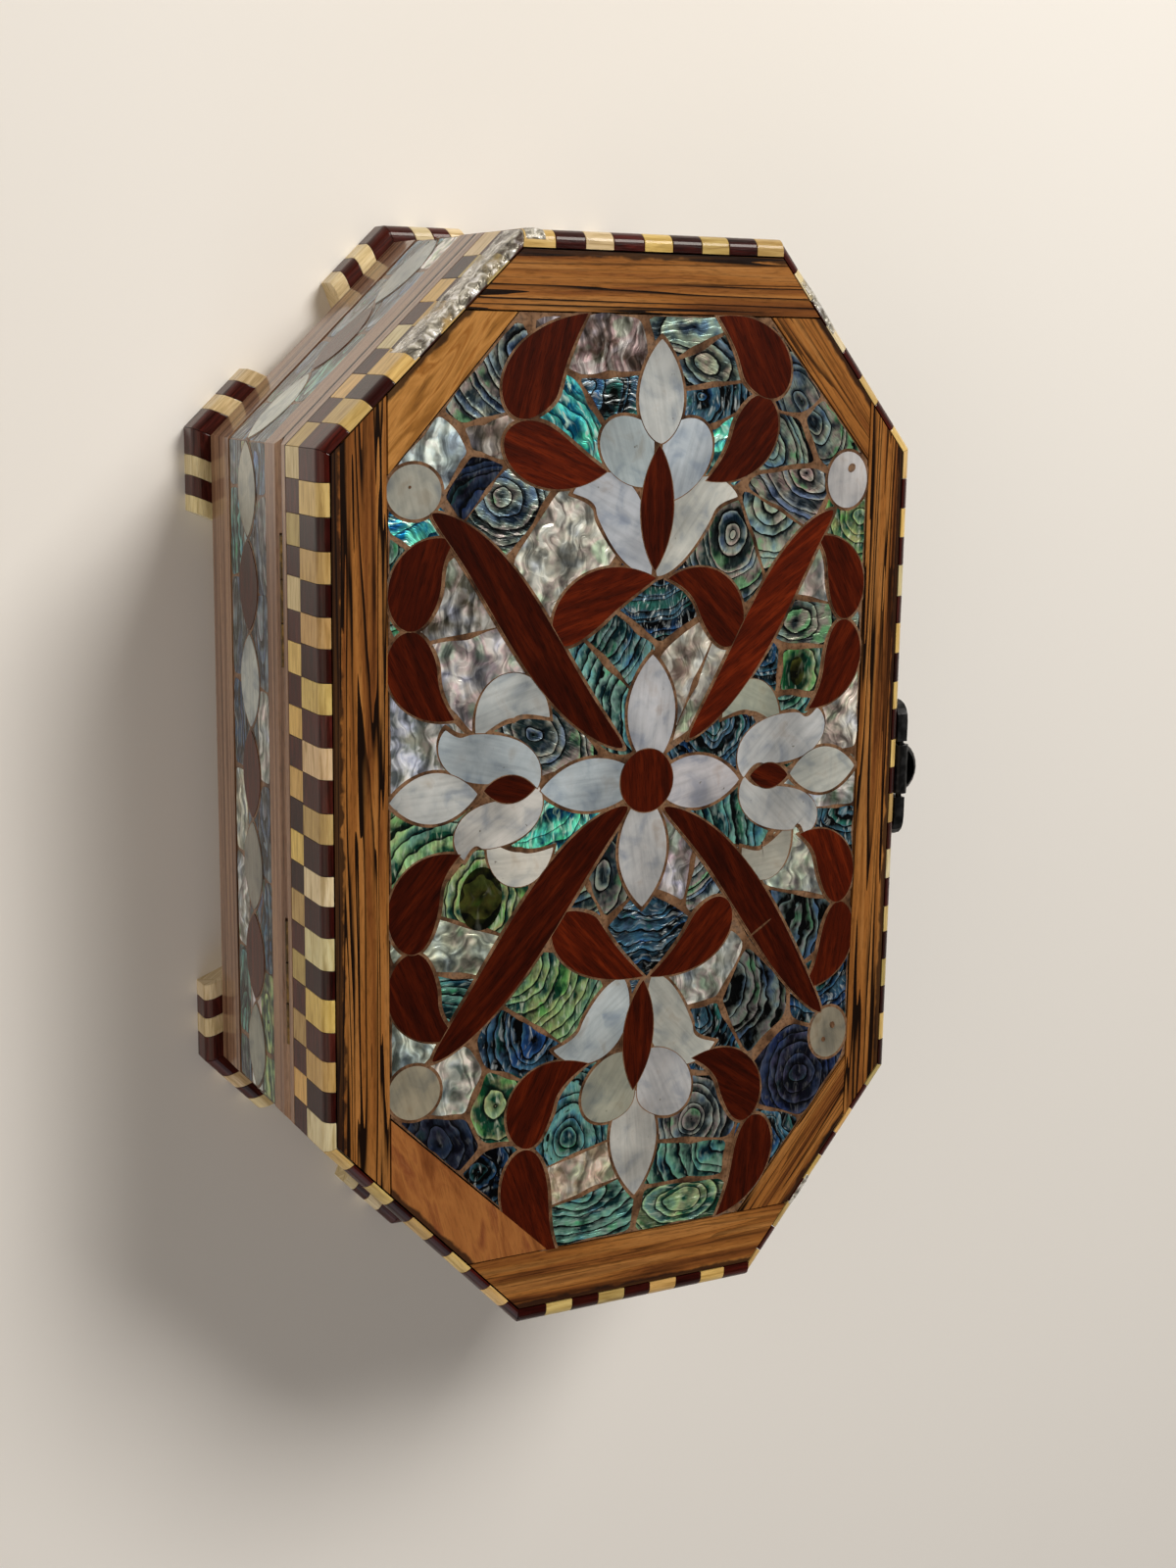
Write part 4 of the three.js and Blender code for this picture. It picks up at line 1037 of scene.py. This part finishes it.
band_red, band_pearl, band_beds, band_chips = [], [], [], []
for side in range(8):
    length = LENGTH[side] / MM
    count = max(1, int(round(length / LOZENGE_PITCH)))
    pitch = length / count
    half_high = BAND_HEIGHT / 2
    for k in range(count):
        middle = (k + 0.5) * pitch
        long = LOZENGE[0] * rng.uniform(0.95, 1.03)
        bow = half_high + rng.uniform(-0.5, 0.5)
        spine = [(middle - long / 2, half_high), (middle, bow), (middle + long / 2, half_high)]
        width = LOZENGE[1] * rng.uniform(0.93, 1.05)
        grid, uv = blade(spine, width, LOZENGE_ENDS, grain=0)
        placed = on_wall(side, MOTIF_LEVEL)(grid)
        if k % 2 == 0:
            colour = tone(rng.choice([SILVER, BLUISH, CREAMY]), 0.15)
            band_pearl.append(tile(placed, uv, shade_a=colour))
        else:
            band_red.append(tile(placed, uv, shade_a=grey(rng.uniform(0.7, 1.1))))
        grid, uv = blade(spine, width, LOZENGE_ENDS, grow=LOZENGE_BED)
        band_beds.append(tile(on_wall(side, BED_LEVEL + k * LEVEL_STEP)(grid), uv))
    outline = np.array([(0.0, 0.0), (length, 0.0), (length, BAND_HEIGHT), (0.0, BAND_HEIGHT)])
    seeds = []
    for k in range(count + 1):
        for up in (0.2, 0.5, 0.8):
            x = np.clip(k * pitch + rng.uniform(-2, 2), BAND_MARGIN, length - BAND_MARGIN)
            kind = rng.choice(list(BAND_CHIPS), p=list(BAND_CHIPS.values()))
            eye = rng.uniform((-9, -4), (9, 4))
            y = up * BAND_HEIGHT + rng.uniform(-1, 1)
            seeds.append((x, y, str(kind), *eye, BAND_CHIP_STRETCH, rng.uniform(-8, 8)))
    band_chips += chip_tiles(seeds, walls_of(outline, BAND_GAP / 2), BAND_GAP, on_wall(side, CHIP_LEVEL))
make_piece("band_mahogany_lozenges", band_red, RED_WOOD, "box")
make_piece("band_pearl_lozenges", band_pearl, PEARL, "box")
make_piece("band_filler_beds", band_beds, GROUT, "box")
make_piece("band_abalone_chips", band_chips, ABALONE, "box")

band_outer, band_inner = inset(CORNERS, PLATE_LEVEL * MM), inset(CORNERS, BAND_DEPTH)
loop = [(band_inner, Z_BAND[0]), (band_outer, Z_BAND[0]), (band_outer, Z_BAND[1]), (band_inner, Z_BAND[1])]
ring = np.stack([np.column_stack([outline, np.full(8, z)]) for outline, z in loop + loop[:1]])
make_piece("band_filler_ring", [tile(ring, ring[..., :2] / MM)], GROUT, "box", ["inlay_band"])

# %% [markdown]
# ## Feet
# A foot is a strip glued up from light and dark blocks, rounded along its upper outer edge and mitred at
# the corner, where two dark blocks meet.

# %% Feet
FOOT_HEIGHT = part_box("foot_front_near_left")[1].z
FOOT_PROUD = 3.3 * MM  # how far a foot stands out from the walls
FOOT_DEPTH = 11 * MM
FOOT_ROUND = 2.4 * MM
# mm along from the mitre, and whether light
FOOT_BLOCKS = ((5.2, False), (4.0, True), (3.9, False), (3.3, True))
# in the order of the octagon's corners
FOOT_NAMES = (
    "foot_front_near_left", "foot_front_near_right", "foot_right_near_front", "foot_right_near_back",
    "foot_back_near_right", "foot_back_near_left", "foot_left_near_back", "foot_left_near_front",
)


def foot_profile():
    """Up the outer face, round a quarter circle, and back along the top to the inner face."""
    turn = np.linspace(0, np.pi / 2, 8)
    arc = [(FOOT_PROUD - FOOT_ROUND * (1 - np.cos(q)), FOOT_HEIGHT - FOOT_ROUND * (1 - np.sin(q)))
           for q in turn]
    inner = FOOT_PROUD - FOOT_DEPTH
    return [(inner, 0.0), (FOOT_PROUD, 0.0)] + arc + [(inner, FOOT_HEIGHT)]


profile = foot_profile()
inner_feet = inset(CORNERS, FOOT_DEPTH)
for corner, name in enumerate(FOOT_NAMES):
    tiles = {True: [], False: []}
    for side, at_end in ((corner, False), ((corner + 7) % 8, True)):
        lean = mitre(side, at_end, inner_feet, FOOT_DEPTH)
        run = 0.0
        for long, light in FOOT_BLOCKS:
            near, far = run, run + long * MM
            run = far
            start, end = (near, far) if not at_end else (LENGTH[side] - far, LENGTH[side] - near)
            grid, uv = block_along(side, start + JOINT / 2, end - JOINT / 2, lean, lean, profile)
            uv = uv + rng.uniform(0, GRAIN_SHIFT, 2)
            tiles[light].append(tile(grid, uv, shade_a=tone("#ffffff", 0.12)))
    make_piece(f"{name}_light_blocks", tiles[True], CREAM_WOOD, "box", [name])
    make_piece(f"{name}_dark_blocks", tiles[False], DARK_WOOD, "box")

# %% [markdown]
# ## Finishes for the frame's own pieces
# Strips, boards and fittings keep the frame's shapes. Each strip gets grain along its own length, so the
# long, end and corner strips need a turn of their own.

# %% Strips, boards and metal
def dress(names, material):
    """Gives pieces of the frame one material and leaves their shapes."""
    for name in names:
        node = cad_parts[name]
        node.data.materials.clear()
        node.data.materials.append(material)


# how strongly each strip is veined
VEINED = {"front": 1.7, "front_right": 0.9, "right": 1.2, "back": 1.7, "left": 0.55, "front_left": 1.1}

for index, side in enumerate(SIDES):
    turn = float(np.arctan2(ALONG[index][1], ALONG[index][0]))
    outer_edge = float(CORNERS[index] @ NORMAL[index] - LID_RIM[index]) / MM
    rim = (NORMAL[index], outer_edge, 1.5 if side == "back" else 0.9)
    if side == "back_right":
        figure = wood("figured_honey_corner", HONEY, along=26.0, across=4.0, turn=turn + 0.15, wobble=1.6,
                      pores=0.2, rim=rim)
    elif side == "back_left":
        figure = wood("figured_cherry_corner", CHERRY, along=20.0, across=5.0, turn=turn - 0.5, wobble=1.2,
                      pores=0.2, rim=rim)
    else:
        figure = wood(f"streaked_olive_{side}", STREAKED, along=60.0, across=2.4, turn=turn, wobble=0.4,
                      veins=VEINED[side], rim=rim, start=37.0 * index + 21.0)
    dress([f"frame_strip_{side}"], figure)

COURSE = [(0.28, "#33201a"), (0.40, "#6f4f3c"), (0.52, "#8d6c55"), (0.66, "#a38267"), (0.80, "#6d4a36")]
# the dark line at the seam on these strips is painted shade in the gap between lid and body
strips = wood("laminated_strips", COURSE, along=60.0, across=60.0, upright=1.3, wobble=0.3, seam=Z_SEAM / MM)
dress(["base_strips", "rim_strips", "lid_strips"], strips)
BOARDS = ("wall_", "lid_wall_", "floor_board", "lid_board")
dress([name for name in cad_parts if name.startswith(BOARDS)], CARCASS)


def old_metal(name, deep, worn, metallic, roughness):
    """Cast metal gone dull: noise picks worn, brighter spots out of a dark skin."""
    material, tree, shader = start_material(name, Metallic=metallic, Roughness=roughness)
    where = add(tree, "TexCoord", give="Object")
    noise = add(tree, "TexNoise", {"Vector": where, "Scale": 600.0, "Detail": 5.0})
    colour = add(tree, "ValToRGB", {"Fac": noise}, stops=[(0.45, deep), (0.72, worn)])
    tree.links.new(colour, shader.inputs["Base Color"])
    bump = add(tree, "Bump", {"Height": noise, "Strength": 0.3, "Distance": 0.0002})
    tree.links.new(bump, shader.inputs["Normal"])
    return material


BRASS = old_metal("antique_brass", "#4a3a22", "#8a6d3c", 0.9, 0.45)
ZINC = old_metal("blackened_zinc", "#121315", "#3a3b3e", 0.7, 0.42)
dress([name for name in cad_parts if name.startswith("hinge_")], BRASS)
dress(["latch_plate", "latch_tongue", "latch_catch"], ZINC)

# %% [markdown]
# ## Floor and light
# A pale floor, one large soft light from the front right and a weaker one from behind keep the shell
# readable: the lid mirrors the dim side of the room, so the lacquer doesn't veil the colours.

# %% Floor and lights
floor_mesh = bpy.data.meshes.new("floor")
half = 1.6
floor_corners = [(-half, -half, 0), (half, -half, 0), (half, half, 0), (-half, half, 0)]
floor_mesh.from_pydata(floor_corners, [], [(0, 1, 2, 3)])
floor = bpy.data.objects.new("floor", floor_mesh)
bpy.context.scene.collection.objects.link(floor)
floor_material, _, floor_shader = start_material("painted_board", Roughness=0.6)
floor_shader.inputs["Base Color"].default_value = linear("#efeeec")
floor_mesh.materials.append(floor_material)


def soft_light(name, place, aim, size, power, colour):
    """A square lamp that faces its aim; larger is softer."""
    data = bpy.data.lights.new(name, "AREA")
    data.size, data.energy, data.color = size, power, linear(colour)[:3]
    lamp = bpy.data.objects.new(name, data)
    lamp.location = place
    lamp.rotation_euler = (Vector(aim) - Vector(place)).to_track_quat("-Z", "Y").to_euler()
    bpy.context.scene.collection.objects.link(lamp)


soft_light("key", (0.66, -0.38, 0.88), (0, 0, 0.03), 0.45, 11.5, "#fff8ee")
soft_light("fill", (0.05, 1.3, 0.9), (0, 0, 0.03), 1.5, 7.0, "#ffe9cf")
soft_light("rim", (-1.1, 0.4, 0.6), (0, 0, 0.03), 0.9, 2.5, "#eef3ff")

# %% The room: pale up to 20 degrees above the horizon and dim overhead, because the lid mirrors the ceiling
world = bpy.data.worlds.new("room")
bpy.context.scene.world = world
world.use_nodes = True
room = world.node_tree
direction = add(room, "TexCoord", give="Generated")
up = add(room, "SeparateXYZ", {"Vector": direction}, give="Z")
walls = add(room, "ValToRGB", {"Fac": up}, stops=[(0.0, "#d8d2c6"), (0.34, "#cfc9be"), (0.60, "#3a3835")])
room.links.new(walls, room.nodes["Background"].inputs["Color"])
room.nodes["Background"].inputs["Strength"].default_value = 0.6
